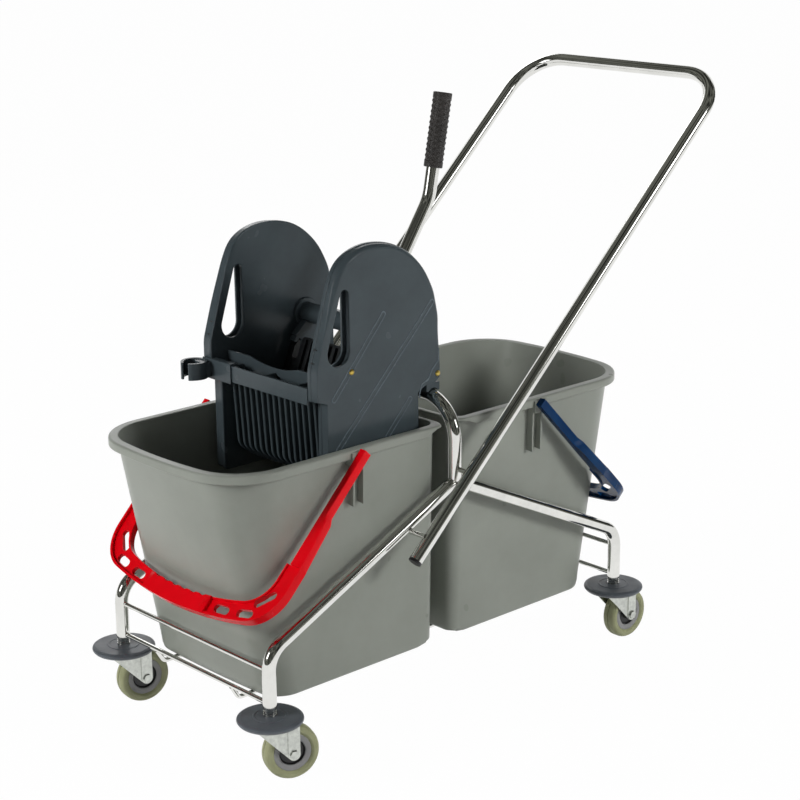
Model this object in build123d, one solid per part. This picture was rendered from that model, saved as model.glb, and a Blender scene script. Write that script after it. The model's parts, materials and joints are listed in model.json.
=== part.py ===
from build123d import *
import os
from math import acos, atan2, cos, hypot, pi, radians, sin, sqrt, tan

# Double mop bucket trolley with a geared press wringer.
# The origin is on the floor under the middle of the whole outline, +X to the push handle.
# Left is the side of -Y and right the side of +Y. All lengths are in millimetres.

# Tubes of the frame
tube_d = 20.0
tube_wall = 1.5
leg_spacing = 710.0
track = 346.0
leg_height = 77.7
side_rise = 166.7
side_bend = 40.0
hoop_rise = 119.6
hoop_bend = 60.0
rod_d = 7.0
lower_rod_rise = 4.0
rod_spacing = 49.0
wire_track = 176.0
wire_drop = 21.5
wire_slant = 12.0
wire_bend = 10.0
cope_share = 0.5

# Push handle
handle_gap = 14.0
handle_low_x = 244.0
handle_low_rise = 158.0
handle_run = 666.0
handle_rise = 624.0
handle_bend = 75.0
stub_d = 8.0
stub_shift = 53.7
cap_head = 4.0
cap_plug = 16.0
cap_round = 1.5

# Castors
wheel_d = 80.0
tyre_w = 24.0
tyre_t = 11.0
tyre_round = 7.0
tyre_groove_d = 1.2
tyre_groove_w = 1.6
trail = 28.0
axle_d = 8.0
axle_head_d = 13.0
axle_head_h = 4.0
web_t = 5.0
hub_d = 22.0
rim_t = 4.0
spin_gap = 0.06
side_gap = 0.4
plate_t = 2.5
fork_gap = 27.0
crown_clear = 5.2
crown_front = 28.0
fork_toe = 9.0
press_rib_w = 7.0
press_rib_h = 26.0
press_rib_t = 1.2
king_pin_d = 12.0
king_head_d = 19.0
king_head_h = 2.4
bumper_gap = 0.3
bumper_d = 94.0
bumper_h = 10.0
bumper_round = 3.5
bumper_ring_d = 44.0
bumper_ring_t = 3.0
bumper_groove = 1.2
ferrule_d = 18.5
ferrule_h = 12.0
ferrule_ribs = 3
ferrule_rib_depth = 0.7
plug_h = 30.0
swivel_degrees = {"front_left": -20.0, "front_right": -10.0, "rear_left": 0.0, "rear_right": -8.0}

# Buckets
bucket_h = 345.0
bucket_wall = 3.0
bucket_floor = 4.0
bucket_side_gap = 16.0
side_draft = 12.0
end_gap = 31.0
end_draft = 78.0
end_bow_top = 17.0
end_bow_low = 5.0
end_corner_top = 78.0
end_corner_low = 40.0
flat_corner_top = 22.0
flat_corner_low = 16.0
hoop_gap = 1.5
flat_flange = 5.5
rim_out = 11.0
rim_t = 3.0
skirt_h = 13.0
skirt_t = 3.0
ear_l = 16.0
foot_h = 6.0
foot_step = 2.2
lug_w = 24.0
lug_h = 19.0
fin_t = 3.0
fin_h = 77.0
fin_skirt_h = 14.0
fin_slope_h = 24.0
fin_out = 10.8
fin_ahead = 6.0
fin_behind = 12.0

# Bails
pivot_back = 183.0
pivot_drop = 11.0
bail_rest_degrees = 46.0
arm_gap = 0.5
arm_w = 10.5
arm_t = 13.0
arm_tail = 10.0
arm_step = 6.0
arm_step_start_share = 0.325
arm_step_end_share = 0.363
arm_reach_share = 0.6096
arm_flare = 12.0
bail_reach = 292.0
bail_band = 26.0
bail_bow = 27.0
bail_corner_share = 0.71
loop_corner_share = 0.8
loop_band = 31.0
web_thick = 6.0
outer_flange_t = 4.0
outer_flange_w = 14.0
inner_flange_t = 3.0
inner_flange_w = 10.0
peg_d = 9.6
peg_gap = 0.08
peg_l = 9.5
bail_grip_l = 140.0
bail_grip_t = 16.0
scallop_r = 11.0
scallop_depth = 2.2
scallops = 6
window_l = 30.0
window_corner_l = 38.0
window_w = 12.0
window_near_share = 0.5
window_far_share = 0.73
window_near_degrees = 4.9
window_far_degrees = 12.1
window_corner_degrees = 45.0

# Wringer, with places behind the front leg's axis and heights above the rim
cheek_span = 256.0
cheek_t = 20.0
cheek_skin = 3.0
cheek_step = 2.0
cheek_rim = 7.0
cheek_front_x = 134.0
cheek_front_low = 64.0
cheek_neck = 110.0
cheek_brow_x = 176.0
cheek_brow = 240.0
cheek_crown_front_x = 206.0
cheek_crown_front = 263.0
cheek_crown_x = 262.0
cheek_crown = 270.0
cheek_nape_x = 322.0
cheek_nape = 248.0
cheek_back_top_x = 360.0
cheek_back_top = 196.0
cheek_back_x = 370.0
cheek_back = 150.0
cheek_back_low = 58.0
cheek_seat_x = 360.0
cheek_seat = 50.0
cheek_seat_front_x = 340.0
cheek_seat_front = 48.0
post_back_x = 327.0
post_back_top = 42.0
post_front_x = 152.0
post_front_top = 58.0
cheek_edge_bend = 3.0
cheek_foot_bend = 8.0
cheek_brow_bend = 50.0
cheek_neck_bend = 60.0
cheek_back_bend = 75.0
cheek_crown_bend = 100.0
wringer_low = 91.0
seat_gap = 0.3
hook_pad_w = 26.0
hook_pad_t = 6.0
shaft_x = 313.0
shaft_above = 125.0
shaft_d = 30.0
boss_d = 44.0
boss_h = 5.0
journal_l = 9.0
teardrop_top_x = 186.5
teardrop_top = 209.0
teardrop_top_r = 8.5
teardrop_low_x = 175.5
teardrop_low = 129.0
teardrop_low_r = 20.0
rail_t = 4.0
rail_h = 24.0
rail_x = 133.0
rail_top = 82.0
jaw_top_x = 165.0
jaw_top = 93.0
jaw_low_x = 193.0
jaw_low = 66.0
jaw_t = 3.0
jaw_dip = 8.0
jaw_ribs = 3
jaw_slots = 12
jaw_slot_w = 4.0
grille_top_x = 151.0
grille_top_gap = 2.0
grille_low_x = 162.0
grille_low = 57.0
grille_slats = 20
slat_w = 4.8
slat_t = 5.0
screw_front_x = 198.0
screw_front = 97.5
screw_back_x = 364.0
screw_back = 64.0
screw_head_d = 7.0
screw_head_h = 2.2
screw_d = 4.0
screw_l = 14.0

# Geared press
gear_module = 4.0
pinion_teeth = 24
plate_teeth = 84
gear_w = 12.0
gear_gap = 6.0
backlash = 0.5
pressure_degrees = 20.0
press_low = 69.0
press_pin_d = 8.0
barrel_d = 18.0
press_t = 4.0
press_h = 178.0
press_side_gap = 5.0
press_lean_degrees = 68.0
press_ribs = 11
press_rib_out = 5.0
press_rib_thick = 3.0
gear_sweep_degrees = 60.0

# Lever
lever_y = -40.0
lever_low_degrees = 56.0
lever_high_degrees = 79.0
lever_knee_x = 119.0
lever_high_l = 152.0
lever_bend = 68.0
lever_socket_d = 36.0
lever_socket_w = 34.0
grip_d = 28.0
grip_l = 110.0
grip_collar = 7.0
grip_collar_out = 1.0
grip_waist = 1.0
grip_end_t = 3.0

# Mop clip
clip_in_d = 30.0
clip_t = 3.5
clip_h = 25.0
clip_mouth_degrees = 95.0
clip_turn_degrees = 215.0
clip_inset = 6.0
saddle_l = 66.0
saddle_t = 3.0

# Cuts run past what they cut by this much
over = 2.0

# Places that follow from the sizes
tube_r = tube_d / 2
rod_r = rod_d / 2
mid_x = leg_spacing / 2
side_y = track / 2
handle_y = side_y + tube_d + handle_gap
crown_top = wheel_d + crown_clear + plate_t
bumper_low = crown_top + bumper_gap
ferrule_low = bumper_low + bumper_h
leg_end = ferrule_low + ferrule_h
leg_bend = leg_end + leg_height
peak = leg_bend + side_rise
hoop_z = peak + hoop_rise
lower_rod = leg_end + lower_rod_rise
upper_rod = lower_rod + rod_spacing
wire_z = lower_rod - wire_drop
bucket_low = wire_z + rod_r
bucket_top = bucket_low + bucket_h
wall_half = side_y - bucket_side_gap
rim_half = wall_half + rim_out
flange_x = mid_x - tube_r - hoop_gap
flat_x = flange_x - flat_flange
wall_end_top = end_gap - end_draft
rim_end = wall_end_top - rim_out
handle_low_z = leg_end + handle_low_rise
handle_top_x = handle_low_x + handle_run
handle_top_z = handle_low_z + handle_rise
front_leg = -(handle_top_x + tube_r + rim_end) / 2
rear_leg = front_leg + leg_spacing
middle = front_leg + mid_x
arm_reach = bail_reach * arm_reach_share
clip_y = cheek_span / 2 - clip_inset


# Boxes, profiles and tubes

def block(x0, x1, y0, y1, z0, z1):
    return Pos((x0 + x1) / 2, (y0 + y1) / 2, (z0 + z1) / 2) * Box(abs(x1 - x0), abs(y1 - y0), abs(z1 - z0))


def across(face, y0, y1):
    # A profile drawn as x and z, drawn out from y0 to the larger y1
    return Pos(0, y1, 0) * extrude(Plane.XZ * face, amount=y1 - y0)


def rod_y(x, z, radius, y0, y1):
    return across(Pos(x, z) * Circle(radius), y0, y1)


def rod_z(x, y, radius, z0, z1):
    return extrude(Pos(x, y, z0) * Circle(radius), amount=z1 - z0)


def outline(points):
    return make_face(Polyline(*points, close=True))


def rounded(points, radii):
    # A polygon whose corners are rounded one by one, with 0 for a sharp corner
    face = outline(points)
    for point, radius in zip(points, radii):
        if radius > 0:
            corner = face.vertices().sort_by_distance((point[0], point[1], 0))[0]
            face = fillet(corner, radius)
    return face


def swept(points, bends, radius):
    path = FilletPolyline(*points, radius=bends)
    return sweep(Plane(origin=path @ 0, z_dir=path % 0) * Circle(radius), path=path)


def tube(points, bends):
    return swept(points, bends, tube_r) - swept(points, bends, tube_r - tube_wall)


def save(shape, name):
    solids = shape.solids()
    kept = solids[0] if len(solids) == 1 else Compound(children=list(solids))
    kept.label = name
    export_step(kept, "parts/" + name + ".step")


# Frame

def side_points(y):
    return [
        (front_leg, y, leg_end),
        (front_leg, y, leg_bend),
        (middle, y, peak),
        (rear_leg, y, leg_bend),
        (rear_leg, y, leg_end),
    ]


def side_solid(y):
    return swept(side_points(y), side_bend, tube_r)


def side_tube(y):
    return tube(side_points(y), side_bend)


def hoop():
    slope = atan2(side_rise, mid_x)
    crest = peak - side_bend * (1 / cos(slope) - 1)
    foot = crest + tube_r * cope_share
    points = [
        (middle, -side_y, foot),
        (middle, -side_y, hoop_z),
        (middle, side_y, hoop_z),
        (middle, side_y, foot),
    ]
    return tube(points, hoop_bend) - side_solid(-side_y) - side_solid(side_y)


def handle_points():
    low = front_leg + handle_low_x
    high = front_leg + handle_top_x
    return [
        (low, -handle_y, handle_low_z),
        (high, -handle_y, handle_top_z),
        (high, handle_y, handle_top_z),
        (low, handle_y, handle_low_z),
    ]


def handle_end_caps():
    # Each cap has a shank in the bore of the tube and a domed head over its end
    caps = []
    for side in (-1, 1):
        end = Plane(
            origin=(front_leg + handle_low_x, side * handle_y, handle_low_z),
            z_dir=(-handle_run, 0, -handle_rise),
        )
        head = fillet(Cylinder(tube_r, cap_head, align=(Align.CENTER, Align.CENTER, Align.MIN)).edges().group_by(
            Axis.Z)[-1], cap_round)
        shank = Cylinder(tube_r - tube_wall, cap_plug, align=(Align.CENTER, Align.CENTER, Align.MAX))
        caps.append(end * (head + shank))
    return caps


def stub_places():
    # The first stub sits just ahead of where the two tubes cross in side view, the second at the hoop
    handle_slope = handle_rise / handle_run
    side_slope = side_rise / mid_x
    crossing = (leg_bend - handle_low_z + handle_slope * handle_low_x) / (handle_slope - side_slope)
    first_x = crossing - stub_shift
    side_z = leg_bend + side_slope * first_x
    handle_z = handle_low_z + handle_slope * (first_x - handle_low_x)
    second_z = handle_low_z + handle_slope * (mid_x - handle_low_x)
    return [(front_leg + first_x, (side_z + handle_z) / 2), (middle, second_z)]


def handle_stubs(handle, hoop_solid):
    stubs = []
    for side in (-1, 1):
        low, high = sorted((side * side_y, side * handle_y))
        for x, z in stub_places():
            stub = rod_y(x, z, stub_d / 2, low, high) - handle - hoop_solid - side_solid(side * side_y)
            stubs.append(stub.solids().sort_by(SortBy.VOLUME)[-1])
    return stubs


def cross_rod(x, z):
    return rod_y(x, z, rod_r, -side_y, side_y) - side_solid(-side_y) - side_solid(side_y)


def cradle_wire(y):
    # Its ends lean outwards up to the lower rods
    top = lower_rod - rod_r * cope_share
    points = [
        (front_leg, y, top), (front_leg + wire_slant, y, wire_z), (rear_leg - wire_slant, y, wire_z),
        (rear_leg, y, top),
    ]
    wire = swept(points, wire_bend, rod_r)
    for x in (front_leg, rear_leg):
        wire -= rod_y(x, lower_rod, rod_r, y - rod_d, y + rod_d)
    return wire


# Castors

def castor_places():
    return {
        "front_left": (front_leg, -side_y),
        "front_right": (front_leg, side_y),
        "rear_left": (rear_leg, -side_y),
        "rear_right": (rear_leg, side_y),
    }


def fork():
    # Pressed steel fork about its swivel axis, the wheel trailing towards +X
    half = fork_gap / 2
    axle_z = wheel_d / 2
    back = trail + fork_toe
    crown_low = crown_top - plate_t
    cheek = make_hull((
        (Pos(trail, axle_z) * Circle(fork_toe)).edges()
        + outline([
            (-crown_front, crown_low), (back, crown_low), (back, crown_top), (-crown_front, crown_top),
        ]).edges()
    ))
    sides = across(cheek, half, half + plate_t) + across(cheek, -half - plate_t, -half)
    crown = block(-crown_front, back, -half - plate_t, half + plate_t, crown_low, crown_top)
    body = sides + crown
    rib = Pos((trail + back) / 2 - press_rib_w / 2, crown_low - press_rib_h / 2 - plate_t) * SlotOverall(
        press_rib_h, press_rib_w, rotation=90)
    outer = half + plate_t
    body += across(rib, outer, outer + press_rib_t) + across(rib, -outer - press_rib_t, -outer)
    body -= rod_z(0, 0, king_pin_d / 2 + spin_gap, crown_low - over, crown_top + over)
    return body - rod_y(trail, axle_z, axle_d / 2, -outer - over, outer + over)


def axle():
    # Shank with a hexagon head on one side and a hexagon nut on the other
    half = fork_gap / 2 + plate_t
    axle_z = wheel_d / 2
    shank = rod_y(trail, axle_z, axle_d / 2, -half - axle_head_h, half + axle_head_h)
    hexagon = Pos(trail, axle_z) * RegularPolygon(axle_head_d / 2, 6)
    return shank + across(hexagon, half, half + axle_head_h) + across(hexagon, -half - axle_head_h, -half)


def turned(points):
    # A closed profile drawn as radius and width, turned about the axle
    face = outline([(r, w) for r, w in points])
    wheel = revolve(Plane.XY * face, axis=Axis.Y)
    return Pos(trail, 0, wheel_d / 2) * wheel


def wheel_centre():
    bore = axle_d / 2 + spin_gap
    hub_half = fork_gap / 2 - side_gap
    hub_r = hub_d / 2
    seat_r = wheel_d / 2 - tyre_t
    rim_r = seat_r - rim_t
    rim_half = tyre_w / 2 - rim_t / 2
    web_half = web_t / 2
    return turned([
        (bore, -hub_half), (hub_r, -hub_half), (hub_r, -web_half), (rim_r, -web_half), (rim_r, -rim_half),
        (seat_r, -rim_half), (seat_r, rim_half), (rim_r, rim_half), (rim_r, web_half), (hub_r, web_half),
        (hub_r, hub_half), (bore, hub_half),
    ])


def tyre():
    # Round shouldered tread with the thin parting groove in its middle
    seat_r = wheel_d / 2 - tyre_t
    out_r = wheel_d / 2
    half = tyre_w / 2
    groove = tyre_groove_w / 2
    profile = rounded(
        [(seat_r, -half), (out_r, -half), (out_r, half), (seat_r, half)], [0, tyre_round, tyre_round, 0])
    ring = revolve(profile, axis=Axis.Y)
    cut = outline([(out_r - tyre_groove_d, -groove), (out_r + over, -groove), (out_r + over, groove),
                   (out_r - tyre_groove_d, groove)])
    return Pos(trail, 0, out_r) * (ring - revolve(cut, axis=Axis.Y))


def bumper():
    # Round soft disc on the king pin, with a raised ring round its middle
    disc = Cylinder(bumper_d / 2, bumper_h, align=(Align.CENTER, Align.CENTER, Align.MIN))
    disc = fillet(disc.edges().filter_by(GeomType.CIRCLE), bumper_round)
    ring = Cylinder(bumper_ring_d / 2, bumper_groove, align=(Align.CENTER, Align.CENTER, Align.MAX)) - Cylinder(
        bumper_ring_d / 2 - bumper_ring_t, bumper_groove, align=(Align.CENTER, Align.CENTER, Align.MAX))
    disc -= Pos(0, 0, bumper_h) * ring
    disc -= Cylinder(king_pin_d / 2, bumper_h, align=(Align.CENTER, Align.CENTER, Align.MIN))
    return Pos(0, 0, bumper_low) * disc


def king_pin():
    # Steel pin through the fork, held below by its flat head
    low = crown_top - plate_t - side_gap - king_head_h
    top = leg_end + plug_h - tube_wall
    return rod_z(0, 0, king_head_d / 2, low, low + king_head_h) + rod_z(0, 0, king_pin_d / 2, low, top)


def leg_socket():
    # Ribbed collar under the tube's end and a plug in its bore, both round the king pin
    collar = rod_z(0, 0, ferrule_d / 2, ferrule_low, leg_end)
    pitch = ferrule_h / (ferrule_ribs + 1)
    for number in range(ferrule_ribs):
        z = ferrule_low + pitch * (number + 1)
        band = rod_z(0, 0, ferrule_d / 2 + over, z - pitch / 6, z + pitch / 6)
        collar -= band - rod_z(0, 0, ferrule_d / 2 - ferrule_rib_depth, z - pitch / 6, z + pitch / 6)
    plug = rod_z(0, 0, tube_r - tube_wall, leg_end, leg_end + plug_h)
    return collar + plug - rod_z(0, 0, king_pin_d / 2, ferrule_low - over, leg_end + plug_h - tube_wall)


# Buckets

def bucket_section(z, inset):
    # The wall's outline at a height, drawn inwards by the inset
    share = (z - bucket_low) / bucket_h
    half = wall_half - side_draft * (1 - share) - inset
    end = front_leg + end_gap - end_draft * share + inset
    bow = end_bow_low + (end_bow_top - end_bow_low) * share
    end_corner = end_corner_low + (end_corner_top - end_corner_low) * share - inset
    flat_corner = flat_corner_low + (flat_corner_top - flat_corner_low) * share - inset
    return bowed_face(front_leg + flat_x - inset, half, end, bow, flat_corner, end_corner, z)


def bowed_face(flat, half, end, bow, flat_corner, end_corner, z):
    # One straight end at the larger x and one bowed end at the smaller x
    wire = [
        Line((end + bow, half), (flat, half)),
        Line((flat, half), (flat, -half)),
        Line((flat, -half), (end + bow, -half)),
        ThreePointArc((end + bow, -half), (end, 0), (end + bow, half)),
    ]
    face = make_face(Curve() + wire)
    for x, y, radius in (
        (flat, half, flat_corner), (flat, -half, flat_corner),
        (end + bow, half, end_corner), (end + bow, -half, end_corner),
    ):
        face = fillet(face.vertices().sort_by_distance((x, y, 0))[0], radius)
    return Pos(0, 0, z) * face


def rim_face(inset, z):
    return bowed_face(
        front_leg + flange_x - inset, rim_half - inset, front_leg + rim_end + inset, end_bow_top,
        flat_corner_top / 2, end_corner_top + rim_out - inset, z)


def bail_pivot():
    return front_leg + mid_x - pivot_back, bucket_top - pivot_drop


def bucket_lug(side):
    # Bearing block under the rim with two fins that step in below it
    x, z = bail_pivot()
    root = wall_half - side_draft - bucket_wall
    out = rim_half + skirt_t
    top = bucket_top - rim_t
    lug = block(x - lug_w / 2, x + lug_w / 2, side * root, side * out, top - lug_h, top)
    fin_y = wall_half - side_draft * fin_slope_h / bucket_h + fin_out
    fin = outline([
        (root, top), (rim_half, top), (rim_half, bucket_top - fin_skirt_h), (fin_y, bucket_top - fin_slope_h),
        (fin_y, top - fin_h), (root, top - fin_h),
    ])
    for place in (x - fin_ahead, x + fin_behind):
        plate = Plane(origin=(place - fin_t / 2, 0, 0), x_dir=(0, side, 0), z_dir=(side, 0, 0)) * fin
        lug += extrude(plate, amount=side * fin_t)
    return lug


def front_bucket():
    low = bucket_section(bucket_low, 0)
    body = loft([low, bucket_section(bucket_top, 0)], ruled=True)
    rim = extrude(rim_face(0, bucket_top - rim_t), amount=rim_t)
    skirt = extrude(rim_face(0, bucket_top - skirt_h) - rim_face(skirt_t, bucket_top - skirt_h), amount=skirt_h - rim_t)
    skirt -= block(front_leg + flat_x - ear_l, middle, -side_y, side_y, bucket_low, bucket_top)
    body += rim + skirt
    for side in (-1, 1):
        body += bucket_lug(side)
    body -= loft([
        bucket_section(bucket_low + bucket_floor, bucket_wall), bucket_section(bucket_top + over, bucket_wall),
    ], ruled=True)
    band = extrude(bucket_section(bucket_low, -over), amount=foot_h) - extrude(
        bucket_section(bucket_low, foot_step), amount=foot_h)
    reach = front_leg + flat_x - flat_corner_low
    body -= band & block(reach - bucket_h, reach, -side_y, side_y, bucket_low - over, bucket_low + foot_h)
    x, z = bail_pivot()
    inner = rim_half - peg_l
    for side in (-1, 1):
        y0, y1 = sorted((side * inner, side * (side_y + over)))
        body -= rod_y(x, z, peg_d / 2 + peg_gap, y0, y1)
    return body


# Bails

def corner_radius(reach, corner_share):
    return (reach - bail_bow - arm_reach) * corner_share


def bail_face(edge, reach, corner_share):
    # Half oval drawn from the pivots, as distance from the pivot axis and width, with the edge of one arm given
    half = edge[-1][1]
    side = reach - bail_bow
    near = [(x, -y) for x, y in edge] + [(side, -half)]
    far = [(side, half)] + list(reversed(edge))
    wire = [
        Polyline(*near),
        ThreePointArc((side, -half), (reach, 0), (side, half)),
        Polyline(*far),
        Line(far[-1], near[0]),
    ]
    face = make_face(Curve() + wire)
    for y in (-half, half):
        face = fillet(face.vertices().sort_by_distance((side, y, 0))[0], corner_radius(reach, corner_share))
    return face


def slab(face, thickness):
    return Pos(0, 0, -thickness / 2) * extrude(face, amount=thickness)


def bail_windows(half, loop_half, loop_reach):
    # Middle, turn and length of the windows of one side, the last one on the band's corner
    windows = []
    for place_share, turn in ((window_near_share, window_near_degrees), (window_far_share, window_far_degrees)):
        windows.append((bail_reach - bail_bow * place_share ** 2 - bail_band / 2, half * place_share, turn, window_l))
    bend = (corner_radius(bail_reach, bail_corner_share) + corner_radius(loop_reach, loop_corner_share)) / 2
    tuck = bend * (1 - cos(radians(window_corner_degrees)))
    x = (bail_reach + loop_reach) / 2 - bail_bow - tuck
    return windows + [(x, (half + loop_half) / 2 - tuck, window_corner_degrees, window_corner_l)]


def bail():
    # Drawn flat: local x runs from the pivots to the grip, local y from side to side
    arm_in = rim_half + skirt_t + arm_gap
    arm_out = arm_in + arm_w
    half = arm_out + arm_flare
    outer = bail_face([
        (-arm_tail, arm_out), (bail_reach * arm_step_start_share, arm_out),
        (bail_reach * arm_step_end_share, arm_out + arm_step), (arm_reach, half),
    ], bail_reach, bail_corner_share)
    loop_half = half - loop_band
    loop_reach = bail_reach - bail_band
    inner = bail_face([(-arm_tail - over, loop_half), (arm_reach, loop_half)], loop_reach, loop_corner_share)
    inner_arm = Rectangle(arm_reach + arm_tail + over, arm_in * 2, align=(Align.MIN, Align.CENTER))
    arm_cut = Pos(-arm_tail - over, 0) * inner_arm
    ring = outer - inner - arm_cut
    trim = Pos(-arm_tail - over, 0) * Rectangle(arm_tail + over + arm_reach, half * 4, align=(Align.MIN, Align.CENTER))
    web = ring - trim
    arms = ring & trim
    outer_flange = (outer - offset(outer, -outer_flange_t)) - arm_cut - inner
    inner_flange = (offset(inner, inner_flange_t) - inner) - trim
    body = slab(web, web_thick) + slab(outer_flange - trim, outer_flange_w) + slab(inner_flange & web, inner_flange_w)
    body += slab(arms, arm_t)
    grip_box = Rectangle(bail_band * 2, bail_grip_l, align=(Align.CENTER, Align.CENTER))
    grip = web & (Pos(bail_reach - bail_band / 2, 0) * grip_box)
    handle = slab(grip, bail_grip_t)
    pitch = bail_grip_l / (scallops + 1)
    for number in range(scallops):
        y = pitch * (number + 1) - bail_grip_l / 2
        dip = loop_reach - bail_bow * (y / loop_half) ** 2 + scallop_depth - scallop_r
        handle -= slab(Pos(dip, y) * Circle(scallop_r), bail_grip_t * 2)
        body -= slab(Pos(dip, y) * Circle(scallop_r), bail_grip_t * 2)
    body += handle
    for side in (-1, 1):
        for x, y, turn, length in bail_windows(half, loop_half, loop_reach):
            slot = SlotOverall(length, window_w, rotation=90 + side * turn)
            body -= slab(Pos(x, side * y) * slot, arm_t * 2)
        low, high = sorted((side * (rim_half + skirt_t - peg_l), side * (arm_in + arm_w / 2)))
        body += Rot(90, 0, 0) * Pos(0, 0, -high) * Cylinder(
            peg_d / 2, high - low, align=(Align.CENTER, Align.CENTER, Align.MIN))
    x, z = bail_pivot()
    lean = radians(bail_rest_degrees)
    place = Plane(origin=(x, 0, z), x_dir=(-cos(lean), 0, -sin(lean)), z_dir=(sin(lean), 0, -cos(lean)))
    return place * body


# Wringer

def from_front(x):
    return front_leg + x


def above_rim(z):
    return bucket_top + z


def cheek_outline(inset):
    # Side profile of the wringer, drawn as x, z and the bend there
    corners = [
        (cheek_front_x, cheek_front_low, cheek_edge_bend),
        (cheek_front_x, cheek_neck, cheek_neck_bend),
        (cheek_brow_x, cheek_brow, cheek_brow_bend),
        (cheek_crown_front_x, cheek_crown_front, cheek_neck_bend),
        (cheek_crown_x, cheek_crown, cheek_crown_bend),
        (cheek_nape_x, cheek_nape, cheek_back_bend),
        (cheek_back_top_x, cheek_back_top, cheek_back_bend),
        (cheek_back_x, cheek_back, cheek_back_bend),
        (cheek_back_x, cheek_back_low, cheek_foot_bend),
        (cheek_seat_x, cheek_seat, cheek_edge_bend),
        (cheek_seat_front_x, cheek_seat_front, cheek_edge_bend),
        (post_back_x, post_back_top, cheek_edge_bend),
        (post_back_x, -wringer_low, cheek_foot_bend),
        (post_front_x, -wringer_low, cheek_foot_bend),
        (post_front_x, post_front_top, cheek_edge_bend),
    ]
    face = rounded([(from_front(x), above_rim(z)) for x, z, bend in corners], [bend for x, z, bend in corners])
    return offset(face, -inset) if inset else face


def teardrop():
    # Hull of a small circle above and a larger one below
    upper = Pos(from_front(teardrop_top_x), above_rim(teardrop_top)) * Circle(teardrop_top_r)
    lower = Pos(from_front(teardrop_low_x), above_rim(teardrop_low)) * Circle(teardrop_low_r)
    return make_hull(upper.edges() + lower.edges())


def shaft_place():
    return from_front(shaft_x), above_rim(shaft_above)


def cheek(side):
    half = cheek_span / 2
    near, far = sorted((side * (half - cheek_t), side * half))
    body = across(cheek_outline(0), near, far)
    open_foot = Rectangle(post_back_x - post_front_x - cheek_skin * 2, cheek_rim * 2)
    hollow = cheek_outline(cheek_skin) + Pos(from_front((post_front_x + post_back_x) / 2), above_rim(-wringer_low)) * open_foot
    low, high = sorted((side * (half - cheek_t + cheek_skin), side * (half - cheek_skin - cheek_step)))
    hollow_body = across(hollow, low, high)
    hole = teardrop()
    x, z = shaft_place()
    hollow_body -= across(offset(hole, cheek_skin), low, high)
    hollow_body -= rod_y(x, z, boss_d / 2, low, high)
    for sx, sz in screw_places():
        hollow_body -= rod_y(sx, sz, screw_d, low, high)
    px, pz = press_pivot()
    hollow_body -= rod_y(px, pz, press_pin_d, low, high)
    body -= hollow_body
    face0, face1 = sorted((side * (half - cheek_step), side * (half + over)))
    panel = offset(cheek_outline(0), -cheek_rim) - offset(hole, cheek_rim / 2)
    body -= across(panel, face0, face1)
    body -= across(hole, near - over, far + over)
    inner0, inner1 = sorted((side * (half - cheek_t - boss_h), side * (half - cheek_t)))
    body += rod_y(x, z, boss_d / 2, inner0, inner1)
    bar = Pos(from_front(mid_x), hoop_z) * Circle(tube_r + seat_gap)
    pad = Pos(from_front(mid_x), above_rim(cheek_seat_front) - hook_pad_t / 2) * Rectangle(hook_pad_w, hook_pad_t * 2)
    body += across(pad - bar, near, far)
    body -= across(bar, near - over, far + over)
    bore0, bore1 = sorted((side * (half - cheek_t - boss_h - over), side * (half - cheek_t + journal_l + seat_gap)))
    body -= rod_y(x, z, shaft_d / 2 + spin_gap, bore0, bore1)
    body -= rod_y(px, pz, press_pin_d / 2, *sorted((side * (half - cheek_t - over), side * (half - cheek_step))))
    for sx, sz in screw_places():
        body -= rod_y(sx, sz, screw_d / 2, *sorted((side * (half - screw_l), side * (half + over))))
        body -= rod_y(sx, sz, screw_head_d / 2 + seat_gap, *sorted((side * (half - cheek_step), side * (half + over))))
    return body


def screw_places():
    return [(from_front(screw_front_x), above_rim(screw_front)), (from_front(screw_back_x), above_rim(screw_back))]


def cheek_screws():
    screws = []
    half = cheek_span / 2 - cheek_step
    for side in (-1, 1):
        for x, z in screw_places():
            head = rod_y(x, z, screw_head_d / 2, *sorted((side * half, side * (half + screw_head_h))))
            shank = rod_y(x, z, screw_d / 2, *sorted((side * (half - screw_l + cheek_step + over), side * half)))
            screws.append(head + shank)
    return screws


def jaw_faces():
    top = (from_front(jaw_top_x), above_rim(jaw_top))
    low = (from_front(jaw_low_x), above_rim(-jaw_low))
    return top, low


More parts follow.
